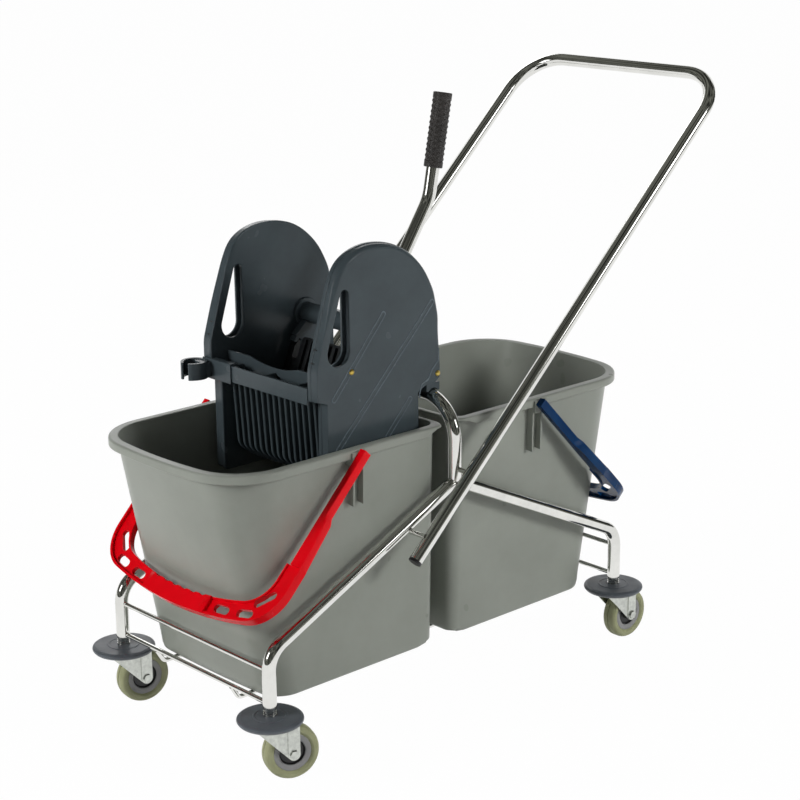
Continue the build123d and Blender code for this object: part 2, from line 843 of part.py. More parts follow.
def front_jaw():
    # Fixed pressing wall with its front rail, joined by upright ribs and closed below by a tie
    inner = cheek_span / 2 - cheek_t
    (tx, tz), (lx, lz) = jaw_faces()
    lean = hypot(tx - lx, tz - lz)
    nx, nz = (tz - lz) / lean, (lx - tx) / lean
    wall = outline([
        (tx, tz), (lx, lz), (lx - jaw_t * nx, lz - jaw_t * nz), (tx - jaw_t * nx, tz - jaw_t * nz),
    ])
    body = across(wall, -inner, inner)
    dip_r = (inner ** 2 / 4 + jaw_dip ** 2) / (2 * jaw_dip)
    dip = extrude(Plane.YZ * (Pos(0, tz - jaw_dip + dip_r) * Circle(dip_r)), amount=tx + jaw_t - (tx - jaw_t * 4))
    body -= Pos(tx - jaw_t * 4, 0, 0) * dip
    slot_pitch = inner * 2 / (jaw_slots + 1)
    drop = tz - lz
    for number in range(jaw_slots):
        y = slot_pitch * (number + 1) - inner
        window = across(outline([
            (tx - jaw_t * 3, lz + drop / 2), (tx - jaw_t * 3, lz + drop / 8), (lx + jaw_t, lz + drop / 8),
            (lx + jaw_t, lz + drop / 2),
        ]), y - jaw_slot_w / 2, y + jaw_slot_w / 2)
        body -= window
    rail = block(
        from_front(rail_x), from_front(rail_x) + rail_t, -inner, inner, above_rim(rail_top) - rail_h,
        above_rim(rail_top))
    body += rail
    rib_top = above_rim(rail_top) - rail_t
    rib_low = above_rim(rail_top) - rail_h
    for number in range(jaw_ribs):
        y = (number - (jaw_ribs - 1) / 2) * inner * 2 / jaw_ribs
        share = (tz - rib_top) / drop
        back_x = tx + (lx - tx) * share
        rib = outline([
            (from_front(rail_x) + rail_t / 2, rib_top), (from_front(rail_x) + rail_t / 2, rib_low),
            (back_x, rib_low), (back_x - jaw_t / 2, rib_top),
        ])
        body += across(rib, y - jaw_t / 2, y + jaw_t / 2) - across(
            outline([(tx, tz), (lx, lz), (lx + drop, lz), (tx + drop, tz)]), y - jaw_t, y + jaw_t)
    return body


def grille_points():
    top = (from_front(grille_top_x), above_rim(rail_top) - rail_h - grille_top_gap)
    low = (from_front(grille_low_x), above_rim(-grille_low))
    return top, low


def front_grille():
    # Row of upright slats that leans back a little, between two bars
    inner = cheek_span / 2 - cheek_t
    (tx, tz), (lx, lz) = grille_points()
    lean = hypot(lx - tx, tz - lz)
    plane = Plane(origin=(tx, 0, tz), x_dir=(0, 1, 0), z_dir=((tz - lz) / lean, 0, (lx - tx) / lean))
    sign = 1 if plane.y_dir.Z < 0 else -1
    half = inner - seat_gap
    bar = slat_w * 1.5
    frame = outline([(-half, 0), (half, 0), (half, sign * lean), (-half, sign * lean)])
    pitch = (half * 2 - slat_w) / grille_slats
    gaps = []
    for number in range(grille_slats):
        start = -half + slat_w + pitch * number
        end = start + pitch - slat_w
        gaps.append(outline([
            (start, sign * bar), (end, sign * bar), (end, sign * (lean - bar)), (start, sign * (lean - bar)),
        ]))
    frame = frame - gaps
    return extrude(plane * frame, amount=slat_t)


def press_pivot():
    # Placed so that the two gears' pitch circles touch, on the line down and forward from the shaft
    x, z = shaft_place()
    reach = gear_module * (pinion_teeth + plate_teeth) / 2
    drop = shaft_above + press_low
    return x - sqrt(reach ** 2 - drop ** 2), z - drop


def press_pin():
    half = cheek_span / 2 - cheek_step
    x, z = press_pivot()
    return rod_y(x, z, press_pin_d / 2, -half, half)


def involute_points(teeth, number_of_points):
    # Radius and turn from the tooth's middle for one flank, out from the root to the tip
    pitch_r = gear_module * teeth / 2
    base_r = pitch_r * cos(radians(pressure_degrees))
    root_r = pitch_r - gear_module * 1.25
    tip_r = pitch_r + gear_module * 0.9
    half_tooth = (pi * gear_module / 2 - backlash) / (2 * pitch_r)
    unwind = tan(radians(pressure_degrees)) - radians(pressure_degrees)
    start_r = max(base_r, root_r)
    flank = []
    if root_r < base_r:
        flank.append((root_r, half_tooth + unwind))
    for number in range(number_of_points):
        r = start_r + (tip_r - start_r) * number / (number_of_points - 1)
        ratio = min(base_r / r, 1)
        angle = acos(ratio)
        flank.append((r, half_tooth + unwind - (tan(angle) - angle)))
    return flank


def toothed(teeth, aim, first, last, spokes_to):
    # Sector with teeth from first to last, counted either way from the one that points along the aim
    flank = involute_points(teeth, 4)
    step = 2 * pi / teeth
    root_r = flank[0][0]
    points = []
    for number in range(first, last + 1):
        middle_turn = aim + number * step
        for r, turn in flank:
            points.append((r * cos(middle_turn - turn), r * sin(middle_turn - turn)))
        for r, turn in reversed(flank):
            points.append((r * cos(middle_turn + turn), r * sin(middle_turn + turn)))
    low = aim + (first - 0.5) * step
    high = aim + (last + 0.5) * step
    edge_low = (root_r * cos(low), root_r * sin(low))
    edge_high = (root_r * cos(high), root_r * sin(high))
    hub_low = (spokes_to * cos(low), spokes_to * sin(low))
    hub_high = (spokes_to * cos(high), spokes_to * sin(high))
    return outline([hub_low, edge_low] + points + [edge_high, hub_high])


def gear_aim():
    # Direction from the press pivot up to the shaft
    sx, sz = shaft_place()
    px, pz = press_pivot()
    return atan2(sz - pz, sx - px)


def gear_sides():
    inner = cheek_span / 2 - cheek_t - boss_h
    return [(-inner + gear_gap - gear_w / 2, -inner + gear_gap + gear_w / 2),
            (inner - gear_gap - gear_w / 2, inner - gear_gap + gear_w / 2)]


def cross_shaft():
    # Shaft in the cheeks with a toothed sector near each end and the lever's socket
    x, z = shaft_place()
    inner = cheek_span / 2 - cheek_t + journal_l
    body = rod_y(x, z, shaft_d / 2, -inner, inner)
    aim = gear_aim() + pi
    sweep_teeth = int(gear_sweep_degrees / 360 * pinion_teeth) + 2
    sector = Pos(x, z) * toothed(pinion_teeth, aim, -1, sweep_teeth, shaft_d / 4)
    for y0, y1 in gear_sides():
        body += across(sector, y0, y1)
    return body + rod_y(x, z, lever_socket_d / 2, lever_y - lever_socket_w / 2, lever_y + lever_socket_w / 2)


def press_plate():
    # Ribbed plate on barrels, with toothed sectors behind it that mesh with the shaft's
    px, pz = press_pivot()
    inner = cheek_span / 2 - cheek_t
    half = inner - press_side_gap
    lean = radians(press_lean_degrees)
    up = (cos(lean), sin(lean))
    back = (sin(lean), -cos(lean))
    barrel = barrel_d / 2
    plate_plane = Plane(origin=(px, 0, pz), x_dir=(0, 1, 0), z_dir=(back[0], 0, back[1]))
    sign = 1 if plate_plane.y_dir.Z > 0 else -1
    tip = gear_module * (pinion_teeth / 2 + 1) + seat_gap * 10
    side_h = press_h - tip * 0.62
    notch = gear_w + gear_gap + boss_h
    panel = rounded([
        (-half, 0), (half, 0), (half, sign * side_h), (half - notch, sign * side_h),
        (half - notch, sign * press_h), (-half + notch, sign * press_h), (-half + notch, sign * side_h),
        (-half, sign * side_h),
    ], [0, 0, press_t, press_t, press_t * 2, press_t * 2, press_t, press_t])
    body = extrude(plate_plane * panel, amount=press_t)
    pitch = (half - notch) * 2 / (press_ribs + 1)
    for number in range(press_ribs):
        y = pitch * (number + 1) - half + notch
        rib = outline([
            (y - press_rib_thick / 2, sign * barrel), (y + press_rib_thick / 2, sign * barrel),
            (y + press_rib_thick / 2, sign * (press_h - press_t)), (y - press_rib_thick / 2, sign * (press_h - press_t)),
        ])
        body += extrude(plate_plane * rib, amount=-press_rib_out)
    body += rod_y(px, pz, barrel, -half, half)
    aim = gear_aim()
    sweep_teeth = round(gear_sweep_degrees / 360 * pinion_teeth) + 1
    sector = toothed(plate_teeth, aim + pi / plate_teeth, -sweep_teeth, 0, barrel / 2)
    sector = Pos(px, pz) * sector
    for y0, y1 in gear_sides():
        body += across(sector, y0, y1)
    return body - rod_y(px, pz, press_pin_d / 2 + spin_gap, -half - over, half + over)


# Lever

def lever_points():
    # Shaft, knee and upper end, as x and z
    x, z = shaft_place()
    low = radians(lever_low_degrees)
    high = radians(lever_high_degrees)
    knee = (x + lever_knee_x, z + lever_knee_x * tan(low))
    end = (knee[0] + lever_high_l * cos(high), knee[1] + lever_high_l * sin(high))
    return (x, z), knee, end


def lever():
    (x, z), knee, end = lever_points()
    low = radians(lever_low_degrees)
    start = (x + shaft_d / 2 * cos(low), z + shaft_d / 2 * sin(low))
    body = tube([(p[0], lever_y, p[1]) for p in (start, knee, end)], lever_bend)
    return body - rod_y(x, z, lever_socket_d / 2, lever_y - lever_socket_w, lever_y + lever_socket_w)


def lever_grip():
    # Turned sleeve with a collar at each end and a closed top
    knee, end = lever_points()[1:]
    high = radians(lever_high_degrees)
    r = grip_d / 2
    base = (end[0] - (grip_l - grip_end_t) * cos(high), end[1] - (grip_l - grip_end_t) * sin(high))
    place = Plane(origin=(base[0], lever_y, base[1]), z_dir=(cos(high), 0, sin(high)))
    waist = r - grip_waist
    face = outline([
        (0, 0), (r - grip_collar_out, 0), (r, grip_collar_out), (r, grip_collar), (waist, grip_collar + grip_waist),
        (waist, grip_l - grip_collar - grip_waist), (r, grip_l - grip_collar), (r, grip_l - grip_collar_out),
        (r - grip_collar_out, grip_l), (0, grip_l),
    ])
    body = revolve(Plane.XZ * face, axis=Axis.Z)
    body -= Cylinder(tube_r, grip_l - grip_end_t, align=(Align.CENTER, Align.CENTER, Align.MIN))
    return place * body


# Mop clip

def mop_clip():
    # Open ring for a mop stick, on a saddle that hugs the rail
    ring_r = clip_in_d / 2 + clip_t
    face_x = from_front(rail_x) - seat_gap
    front = face_x - saddle_t
    cx = front - ring_r + clip_t / 2
    rail_z = above_rim(rail_top)
    low = rail_z - rail_h / 2 - clip_h / 2
    ring = Circle(ring_r) - Circle(clip_in_d / 2)
    mouth = radians(clip_mouth_degrees / 2)
    reach = ring_r * 2
    wedge = outline([(0, 0), (reach * cos(mouth), reach * sin(mouth)), (reach * cos(mouth), -reach * sin(mouth))])
    ring = ring - Rot(0, 0, clip_turn_degrees) * wedge
    tip_r = ring_r - clip_t / 2
    for side in (-1, 1):
        turn = radians(clip_turn_degrees + side * clip_mouth_degrees / 2)
        ring += Pos(tip_r * cos(turn), tip_r * sin(turn)) * Circle(clip_t / 2)
    clip = Pos(cx, clip_y, low) * extrude(ring, amount=clip_h)
    far = cheek_span / 2 - cheek_t - seat_gap
    saddle = block(front, face_x, far - saddle_l, clip_y, rail_z - rail_h - seat_gap, rail_z + seat_gap + saddle_t)
    top = block(
        front, from_front(rail_x) + rail_t + seat_gap + saddle_t, far - saddle_l, far, rail_z + seat_gap,
        rail_z + seat_gap + saddle_t)
    neck = block(front - clip_t, front, clip_y - ring_r / 2, clip_y, low + clip_h / 4, rail_z + seat_gap)
    neck -= rod_z(cx, clip_y, clip_in_d / 2, low, low + clip_h * 2)
    return clip + saddle + top + neck


# Build

os.makedirs("parts", exist_ok=True)

hoop_part = hoop()
handle_solid = swept(handle_points(), handle_bend, tube_r)
save(side_tube(-side_y), "side_tube_left")
save(side_tube(side_y), "side_tube_right")
save(hoop_part, "hoop")
save(tube(handle_points(), handle_bend), "push_handle")
save(Compound(children=handle_end_caps()), "handle_end_caps")
save(Compound(children=handle_stubs(handle_solid, hoop_part)), "handle_stubs")
save(cross_rod(front_leg, lower_rod), "front_lower_rod")
save(cross_rod(front_leg, upper_rod), "front_upper_rod")
save(cross_rod(rear_leg, lower_rod), "rear_lower_rod")
save(cross_rod(rear_leg, upper_rod), "rear_upper_rod")
save(cradle_wire(-wire_track / 2), "cradle_wire_left")
save(cradle_wire(wire_track / 2), "cradle_wire_right")

king_pins = []
sockets = []
for corner_name, (corner_x, corner_y) in castor_places().items():
    stand = Pos(corner_x, corner_y, 0)
    turn = stand * Rot(0, 0, swivel_degrees[corner_name])
    king_pins.append(stand * king_pin())
    sockets.append(stand * leg_socket())
    save(stand * bumper(), "bumper_" + corner_name)
    save(turn * fork(), "fork_" + corner_name)
    save(turn * axle(), "axle_" + corner_name)
    save(turn * wheel_centre(), "wheel_centre_" + corner_name)
    save(turn * tyre(), "tyre_" + corner_name)
save(Compound(children=king_pins), "king_pins")
save(Compound(children=sockets), "leg_sockets")

mirror_plane = Plane(origin=(middle, 0, 0), z_dir=(1, 0, 0))
bucket_part = front_bucket()
bail_part = bail()
save(bucket_part, "front_bucket")
save(mirror(bucket_part, about=mirror_plane), "rear_bucket")
save(bail_part, "front_bail")
save(mirror(bail_part, about=mirror_plane), "rear_bail")

save(cheek(-1), "cheek_left")
save(cheek(1), "cheek_right")
save(Compound(children=cheek_screws()), "cheek_screws")
save(front_jaw(), "front_jaw")
save(front_grille(), "front_grille")
save(press_pin(), "press_pin")
save(mop_clip(), "mop_clip")
save(cross_shaft(), "cross_shaft")
save(lever(), "lever")
save(lever_grip(), "lever_grip")
save(press_plate(), "press_plate")
print("x from", front_leg + rim_end, "to", front_leg + handle_top_x + tube_r)
print("front leg", front_leg, "pivots", bail_pivot(), shaft_place(), press_pivot())
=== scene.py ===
import json
import math

import bmesh
import bpy
import numpy as np
from mathutils import Matrix, Vector
from mathutils.geometry import tessellate_polygon


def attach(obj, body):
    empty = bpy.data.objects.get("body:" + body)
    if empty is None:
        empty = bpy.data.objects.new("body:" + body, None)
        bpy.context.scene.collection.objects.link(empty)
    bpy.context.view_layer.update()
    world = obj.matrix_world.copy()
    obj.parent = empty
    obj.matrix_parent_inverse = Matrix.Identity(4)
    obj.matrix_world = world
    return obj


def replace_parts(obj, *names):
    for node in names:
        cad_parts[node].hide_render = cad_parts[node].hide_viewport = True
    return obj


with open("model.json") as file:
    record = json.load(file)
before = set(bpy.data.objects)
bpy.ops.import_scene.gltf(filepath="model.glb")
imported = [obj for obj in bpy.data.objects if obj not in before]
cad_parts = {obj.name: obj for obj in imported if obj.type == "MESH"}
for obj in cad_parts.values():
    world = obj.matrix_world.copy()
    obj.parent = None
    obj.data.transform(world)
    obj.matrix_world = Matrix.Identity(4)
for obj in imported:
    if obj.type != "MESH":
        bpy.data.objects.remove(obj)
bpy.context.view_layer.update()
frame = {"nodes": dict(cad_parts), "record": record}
nodes = frame["nodes"]
bodyOfNode = {n: b for b, members in frame["record"]["behaviour"]["bodies"].items() for n in members}
mm = 0.001
frontLeg = -431.0  # mm, x of the front legs' axis
rimZ = 441.0  # mm, height of the buckets' rims
middleX = -76.0  # mm, x of the plane that mirrors one bucket into the other
print("frame loaded:", len(nodes), "nodes")


# Colours and materials

def hexToLinear(code):
    # sRGB hex to linear: the lower toe is a straight line, the rest a power of 2.4
    parts = [int(code[i:i + 2], 16) / 255 for i in (1, 3, 5)]
    linear = [c / 12.92 if c <= 0.04045 else ((c + 0.055) / 1.055) ** 2.4 for c in parts]
    return (*linear, 1.0)


def addNode(tree, kind, values=None, links=None, **settings):
    # adds one node, sets its own settings and socket values, and links what feeds it
    node = tree.nodes.new("ShaderNode" + kind)
    for key, value in settings.items():
        setattr(node, key, value)
    for key, value in (values or {}).items():
        node.inputs[key].default_value = value
    for key, source in (links or {}).items():
        tree.links.new(source, node.inputs[key])
    return node


def addObject(name, data):
    # a new object, in the scene
    obj = bpy.data.objects.new(name, data)
    bpy.context.scene.collection.objects.link(obj)
    return obj


def clearTree(holder):
    # switches a material or a world to nodes and empties its tree
    holder.use_nodes = True
    holder.node_tree.nodes.clear()
    return holder.node_tree


def toneRamp(tree, cloud, spots, codes):
    # two tones mixed by a cloud noise: the first tone up to the first spot, the second from the second spot
    tone = addNode(tree, "ValToRGB", links={"Fac": cloud.outputs["Fac"]})
    for number in (0, 1):
        tone.color_ramp.elements[number].position = spots[number]
        tone.color_ramp.elements[number].color = hexToLinear(codes[number])
    return tone


def newMaterial(name, look):
    # Principled surface: colour drifts between two tones, roughness drifts, fine bump over a coarse one
    mat = bpy.data.materials.new(name)
    tree = clearTree(mat)
    coords = {"Vector": addNode(tree, "TexCoord").outputs["Object"]}
    # the scale of a noise is one over the size of its features, in metres
    cloud = addNode(tree, "TexNoise", {"Scale": 1 / mm / look["cloudMm"], "Detail": 4.0, "Roughness": 0.6}, coords)
    tone = toneRamp(tree, cloud, (0.3, 0.7), (look["dark"], look["light"]))
    grain = addNode(tree, "TexNoise", {"Scale": 1 / mm / look["grainMm"], "Detail": 3.0}, coords)
    smear = addNode(tree, "TexNoise", {"Scale": 1 / mm / look["smearMm"], "Detail": 2.0}, coords)
    smooth, dull = look["rough"]
    rough = addNode(tree, "MapRange", {"From Min": 0.25, "From Max": 0.75, "To Min": smooth, "To Max": dull},
                    {"Value": smear.outputs["Fac"]})
    waves = addNode(tree, "Bump", {"Strength": look["waveBump"], "Distance": look.get("waveMm", 0.3) * mm},
                    {"Height": smear.outputs["Fac"]})
    bump = addNode(tree, "Bump", {"Strength": look["grainBump"], "Distance": grainDepth * mm},
                   {"Height": grain.outputs["Fac"], "Normal": waves.outputs["Normal"]})
    shader = addNode(tree, "BsdfPrincipled", {"Metallic": look.get("metal", 0.0)},
                     {"Base Color": tone.outputs["Color"], "Roughness": rough.outputs["Result"],
                      "Normal": bump.outputs["Normal"]})
    for key, socket in (("ior", "IOR"), ("shine", "Specular IOR Level")):
        if key in look:
            shader.inputs[socket].default_value = look[key]
    addNode(tree, "OutputMaterial", links={"Surface": shader.outputs["BSDF"]})
    return mat


grainDepth = 0.05  # mm, the depth of the fine bump at full strength
# moulded polypropylene: the fine grain and the optics that its colours share
moulded = dict(grainMm=0.6, ior=1.49)
glossy = dict(moulded, cloudMm=50, smearMm=30, rough=(0.2, 0.28), waveBump=0.03, grainBump=0.05, shine=0.14)
finishes = {
    # chrome plate over polished tube: near mirror, with faint polishing waves
    "chromePlatedSteel": dict(dark="#D6D6D2", light="#E8E8E4", metal=1.0, cloudMm=60, grainMm=0.8, smearMm=22,
                              rough=(0.06, 0.11), waveBump=0.004, grainBump=0.003, waveMm=0.2),
    # bright zinc on pressed sheet: a cool spangle and a soft sheen
    "zincPlatedSteel": dict(dark="#B4B7B2", light="#D2D5CE", metal=1.0, cloudMm=6, grainMm=0.5, smearMm=9,
                            rough=(0.28, 0.42), waveBump=0.1, grainBump=0.08),
    # grey buckets: semi gloss with a soft cloudy tone
    "greyMouldedPolypropylene": dict(moulded, dark="#848880", light="#8E928A", cloudMm=120, grainMm=0.8, smearMm=60,
                                     rough=(0.27, 0.38), waveBump=0.02, grainBump=0.06, waveMm=0.5, shine=0.26),
    # glossy red and dark blue bails
    "redMouldedPolypropylene": dict(glossy, dark="#D4000E", light="#E00012"),
    "blueMouldedPolypropylene": dict(glossy, dark="#02244A", light="#053660"),
    # slate grey of the wringer, with a fine satin grain
    "slateMouldedPolypropylene": dict(moulded, dark="#3A4246", light="#434C50", cloudMm=80, smearMm=40,
                                      rough=(0.2, 0.28), waveBump=0.02, grainBump=0.06, shine=0.24),
    # the same plastic painted paler on its thin raised lines: a painted highlight for the light that these lines catch
    "slatePaintedHighlightRidge": dict(moulded, dark="#545E64", light="#626D74", cloudMm=30, smearMm=20, rough=(0.2, 0.3),
                             waveBump=0.02, grainBump=0.05, shine=0.3),
    # black nylon of the press plate, dry and matte
    "blackMouldedNylon": dict(dark="#121415", light="#1B1E20", cloudMm=30, grainMm=0.5, smearMm=16,
                              rough=(0.36, 0.5), waveBump=0.04, grainBump=0.15, ior=1.53),
    # soft vinyl of the bumper discs
    "greySoftVinyl": dict(dark="#4C5157", light="#565C62", cloudMm=30, grainMm=0.6, smearMm=20,
                          rough=(0.36, 0.48), waveBump=0.04, grainBump=0.15, ior=1.5),
    # wheel centres, dull from use
    "greyWheelPolypropylene": dict(moulded, dark="#808080", light="#8E8E8E", cloudMm=22, smearMm=14, rough=(0.4, 0.5),
                                   waveBump=0.05, grainBump=0.12),
    # thermoplastic rubber of the tyres, dull and a little olive
    "greyTyreRubber": dict(dark="#8A8D6A", light="#9A9C78", cloudMm=18, grainMm=0.5, smearMm=12,
                           rough=(0.5, 0.62), waveBump=0.05, grainBump=0.2, ior=1.52),
    # black vinyl of plugs and hubs; the same black also paints the shade in the wheel centres' recesses and in the
    # cheeks' slits
    "blackVinylAndPaintedShade": dict(dark="#101011", light="#18181A", cloudMm=14, grainMm=0.5, smearMm=8,
                       rough=(0.36, 0.5), waveBump=0.05, grainBump=0.12, ior=1.5),
    # black nitrile rubber of the hand grip
    "blackGripRubber": dict(dark="#242221", light="#302D2B", cloudMm=20, grainMm=0.4, smearMm=12,
                            rough=(0.46, 0.58), waveBump=0.05, grainBump=0.2, ior=1.52),
    # brass plate on a steel screw
    "brassPlatedScrew": dict(dark="#D2AE48", light="#F0D67A", metal=1.0, cloudMm=3, grainMm=0.3, smearMm=2,
                             rough=(0.34, 0.46), waveBump=0.1, grainBump=0.1),
}
materials = {name: newMaterial(name, look) for name, look in finishes.items()}
finishOfSlot = {
    "chromed_steel": "chromePlatedSteel", "zinc_plated_steel": "zincPlatedSteel", "black_plastic": "blackVinylAndPaintedShade",
    "bumper_plastic": "greySoftVinyl", "wheel_plastic": "greyWheelPolypropylene", "grey_tyre": "greyTyreRubber",
    "bucket_plastic": "greyMouldedPolypropylene", "red_plastic": "redMouldedPolypropylene",
    "blue_plastic": "blueMouldedPolypropylene", "wringer_plastic": "slateMouldedPolypropylene",
    "press_plastic": "blackMouldedNylon", "brass": "brassPlatedScrew", "grip_rubber": "blackGripRubber",
}
slotOfNode = {s["node"]: s["material_slot"] for s in frame["record"]["subparts"]}
for nodeName, obj in nodes.items():
    obj.data.materials.clear()
    obj.data.materials.append(materials[finishOfSlot[slotOfNode[nodeName]]])
print("materials:", len(materials))


# Camera and studio

# fitted to the photograph: metres and degrees
camera = dict(place=(-1.974642, -2.115081, 1.262572), yaw=42.51, pitch=15.94, roll=-0.58, lensMm=88.54,
              shiftX=0.0075, shiftY=-0.0091)


def cameraMatrix(c):
    # columns are right, up and back, from yaw about Z, pitch down and a roll about the view
    yaw, pitch, roll = (math.radians(c[k]) for k in ("yaw", "pitch", "roll"))
    forward = Vector((math.sin(yaw) * math.cos(pitch), math.cos(yaw) * math.cos(pitch), -math.sin(pitch)))
    right = Vector((math.cos(yaw), -math.sin(yaw), 0))
    up = right.cross(forward)
    right, up = right * math.cos(roll) + up * math.sin(roll), up * math.cos(roll) - right * math.sin(roll)
    turn = Matrix((right, up, -forward)).transposed().to_4x4()
    return Matrix.Translation(c["place"]) @ turn


cameraData = bpy.data.cameras.new("photoCamera")
cameraData.sensor_width = 36.0
cameraData.lens = camera["lensMm"]
cameraData.shift_x = camera["shiftX"]
cameraData.shift_y = camera["shiftY"]
cameraData.clip_end = 80.0
cameraObject = addObject("photoCamera", cameraData)
cameraObject.matrix_world = cameraMatrix(camera)
bpy.context.scene.camera = cameraObject
bpy.context.scene.view_settings.view_transform = "Standard"

# a white floor under a dim room, in metres and watts: cards stand for its dark walls and ceiling, which only
# mirrors see
studio = dict(floorHex="#F4F4F4", floorGlow=0.985, floorZ=-0.0006, floorSize=60,
              skyLow=0.55, skyHigh=0.03, skyBand=(0.05, 0.65), lampSize=1.2, aimZ=0.4, softboxGlow=3.5,
              lamps=(("keyLamp", (-3.5, 0.9, 1.8), 90), ("fillLamp", (1.5, -3.5, 1.9), 88),
                     ("backLamp", (1.8, 3.2, 2.4), 24)),
              walls=((-6, 0, 12, 90), (0, -6, 12, 0), (6, -3, 6.5, 90), (-3, 6, 6.5, 0)),
              wallLow=0.25, wallHigh=5, ceiling=(12, 5), cardTones=("#20211F", "#75766F"), cardCloud=1.1)


def seenShare(tree):
    # 1 on the rays of cameras, mirrors and glass, and 0 on the rays that only carry light
    rays = addNode(tree, "LightPath")
    seen = addNode(tree, "Math", links={0: rays.outputs["Is Camera Ray"], 1: rays.outputs["Is Glossy Ray"]},
                   operation="MAXIMUM")
    either = addNode(tree, "Math", links={0: seen.outputs[0], 1: rays.outputs["Is Transmission Ray"]},
                     operation="MAXIMUM")
    return either.outputs[0]


def whiteForEyes(name, glowShare, colour):
    # a surface that cameras, mirrors and glass see as plain white, and that takes the object's shadow
    mat = bpy.data.materials.new(name)
    tree = clearTree(mat)
    share = addNode(tree, "Math", {1: glowShare}, {0: seenShare(tree)}, operation="MULTIPLY")
    paint = addNode(tree, "BsdfDiffuse", {"Color": colour})
    glow = addNode(tree, "Emission", {"Color": (1, 1, 1, 1), "Strength": 1.0})
    mix = addNode(tree, "MixShader", links={0: share.outputs[0], 1: paint.outputs[0], 2: glow.outputs[0]})
    addNode(tree, "OutputMaterial", links={"Surface": mix.outputs[0]})
    return mat


def dimCard(name, tones, cloudMetres):
    # a card that glows dimly in soft clouds of two tones, like the far walls of a dim room
    mat = bpy.data.materials.new(name)
    tree = clearTree(mat)
    coords = {"Vector": addNode(tree, "TexCoord").outputs["Object"]}
    cloud = addNode(tree, "TexNoise", {"Scale": 1 / cloudMetres, "Detail": 1.0}, coords)
    tone = toneRamp(tree, cloud, (0.4, 0.62), tones)
    glow = addNode(tree, "Emission", {"Strength": 1.0}, {"Color": tone.outputs["Color"]})
    addNode(tree, "OutputMaterial", links={"Surface": glow.outputs[0]})
    return mat


def stagePlane(name, centre, width, height, turnDegrees, mat, lying):
    # a flat card, lying level or standing and turned about Z
    corners = np.array([(-1, -1), (1, -1), (-1, 1), (1, 1)]) * (width / 2, height / 2)
    turn = math.radians(turnDegrees)
    if lying:
        points = np.column_stack([corners, np.zeros(4)])
    else:
        points = np.column_stack([corners[:, 0] * math.cos(turn), corners[:, 0] * math.sin(turn), corners[:, 1]])
    mesh = gridMesh(name, (points + centre).reshape(2, 2, 3))
    mesh.materials.append(mat)
    obj = addObject(name, mesh)
    return obj


def gridMesh(name, points, closeU=False, closeV=False):
    # points in rows and columns, where neighbours in both directions make one quad each
    rows, cols = points.shape[:2]
    index = np.arange(rows * cols).reshape(rows, cols)
    if closeU:
        index = np.concatenate([index, index[:1]], axis=0)
    if closeV:
        index = np.concatenate([index, index[:, :1]], axis=1)
    quads = np.stack([index[:-1, :-1], index[:-1, 1:], index[1:, 1:], index[1:, :-1]], axis=-1).reshape(-1, 4)
    mesh = bpy.data.meshes.new(name)
    mesh.from_pydata(points.reshape(-1, 3).tolist(), [], quads.tolist())
    mesh.update()
    return mesh


floorPaint = whiteForEyes("paleStudioFloor", studio["floorGlow"], hexToLinear(studio["floorHex"]))
stagePlane("studioFloor", (0, 0, studio["floorZ"]), studio["floorSize"], studio["floorSize"], 0, floorPaint, True)
cardPaint = dimCard("dimStudioCard", studio["cardTones"], studio["cardCloud"])
wallTall = studio["wallHigh"] - studio["wallLow"]
cards = [stagePlane("studioWall%d" % number, (x, y, studio["wallLow"] + wallTall / 2), width, wallTall, turn,
                    cardPaint, False) for number, (x, y, width, turn) in enumerate(studio["walls"])]
ceilingSize, ceilingZ = studio["ceiling"]
cards.append(stagePlane("studioCeiling", (0, 0, ceilingZ), ceilingSize, ceilingSize, 0, cardPaint, True))
# what mirrors see of a lamp is a softbox of even brightness, so that its streak on chrome keeps smooth edges
softboxPaint = bpy.data.materials.new("softboxGlow")
softboxTree = clearTree(softboxPaint)
softboxLight = addNode(softboxTree, "Emission", {"Color": (1, 1, 1, 1), "Strength": studio["softboxGlow"]})
addNode(softboxTree, "OutputMaterial", links={"Surface": softboxLight.outputs[0]})
lampSize = studio["lampSize"]
for name, place, watts in studio["lamps"]:
    facing = math.degrees(math.atan2(place[1], place[0])) + 90
    cards.append(stagePlane(name + "Softbox", place, lampSize, lampSize, facing, softboxPaint, False))
for card in cards:
    card.visible_camera = card.visible_diffuse = card.visible_shadow = card.visible_transmission = False
for name, place, watts in studio["lamps"]:
    lamp = bpy.data.lights.new(name, "AREA")
    lamp.shape = "DISK"
    lamp.size = lampSize
    lamp.energy = watts
    lampObject = addObject(name, lamp)
    lampObject.location = place
    lampObject.visible_glossy = False
    aim = Vector((0, 0, studio["aimZ"])) - Vector(place)
    lampObject.rotation_euler = aim.to_track_quat("-Z", "Y").to_euler()
world = bpy.data.worlds.new("studioWorld")
bpy.context.scene.world = world
worldTree = clearTree(world)
# the light falls from the room's sides: bright level with the floor, dim overhead, and white where it is seen
worldWay = addNode(worldTree, "TexCoord")
worldParts = addNode(worldTree, "SeparateXYZ", links={"Vector": worldWay.outputs["Generated"]})
bandLow, bandHigh = studio["skyBand"]
worldRise = addNode(worldTree, "MapRange", {"From Min": bandLow, "From Max": bandHigh, "To Min": studio["skyLow"],
                                            "To Max": studio["skyHigh"]}, {"Value": worldParts.outputs["Z"]})
worldLevel = addNode(worldTree, "MapRange", {"To Max": 1.0},
                     {"Value": seenShare(worldTree), "To Min": worldRise.outputs["Result"]})
worldSky = addNode(worldTree, "Background", {"Color": (1, 1, 1, 1)}, {"Strength": worldLevel.outputs["Result"]})
addNode(worldTree, "OutputWorld", links={"Surface": worldSky.outputs[0]})
print("camera and studio set")


# Outlines, all in millimetres

def smoothStep(x, low, high):
    # 0 up to low, 1 from high, and an even S between them
    t = np.clip((x - low) / (high - low), 0, 1)
    return t * t * (3 - 2 * t)


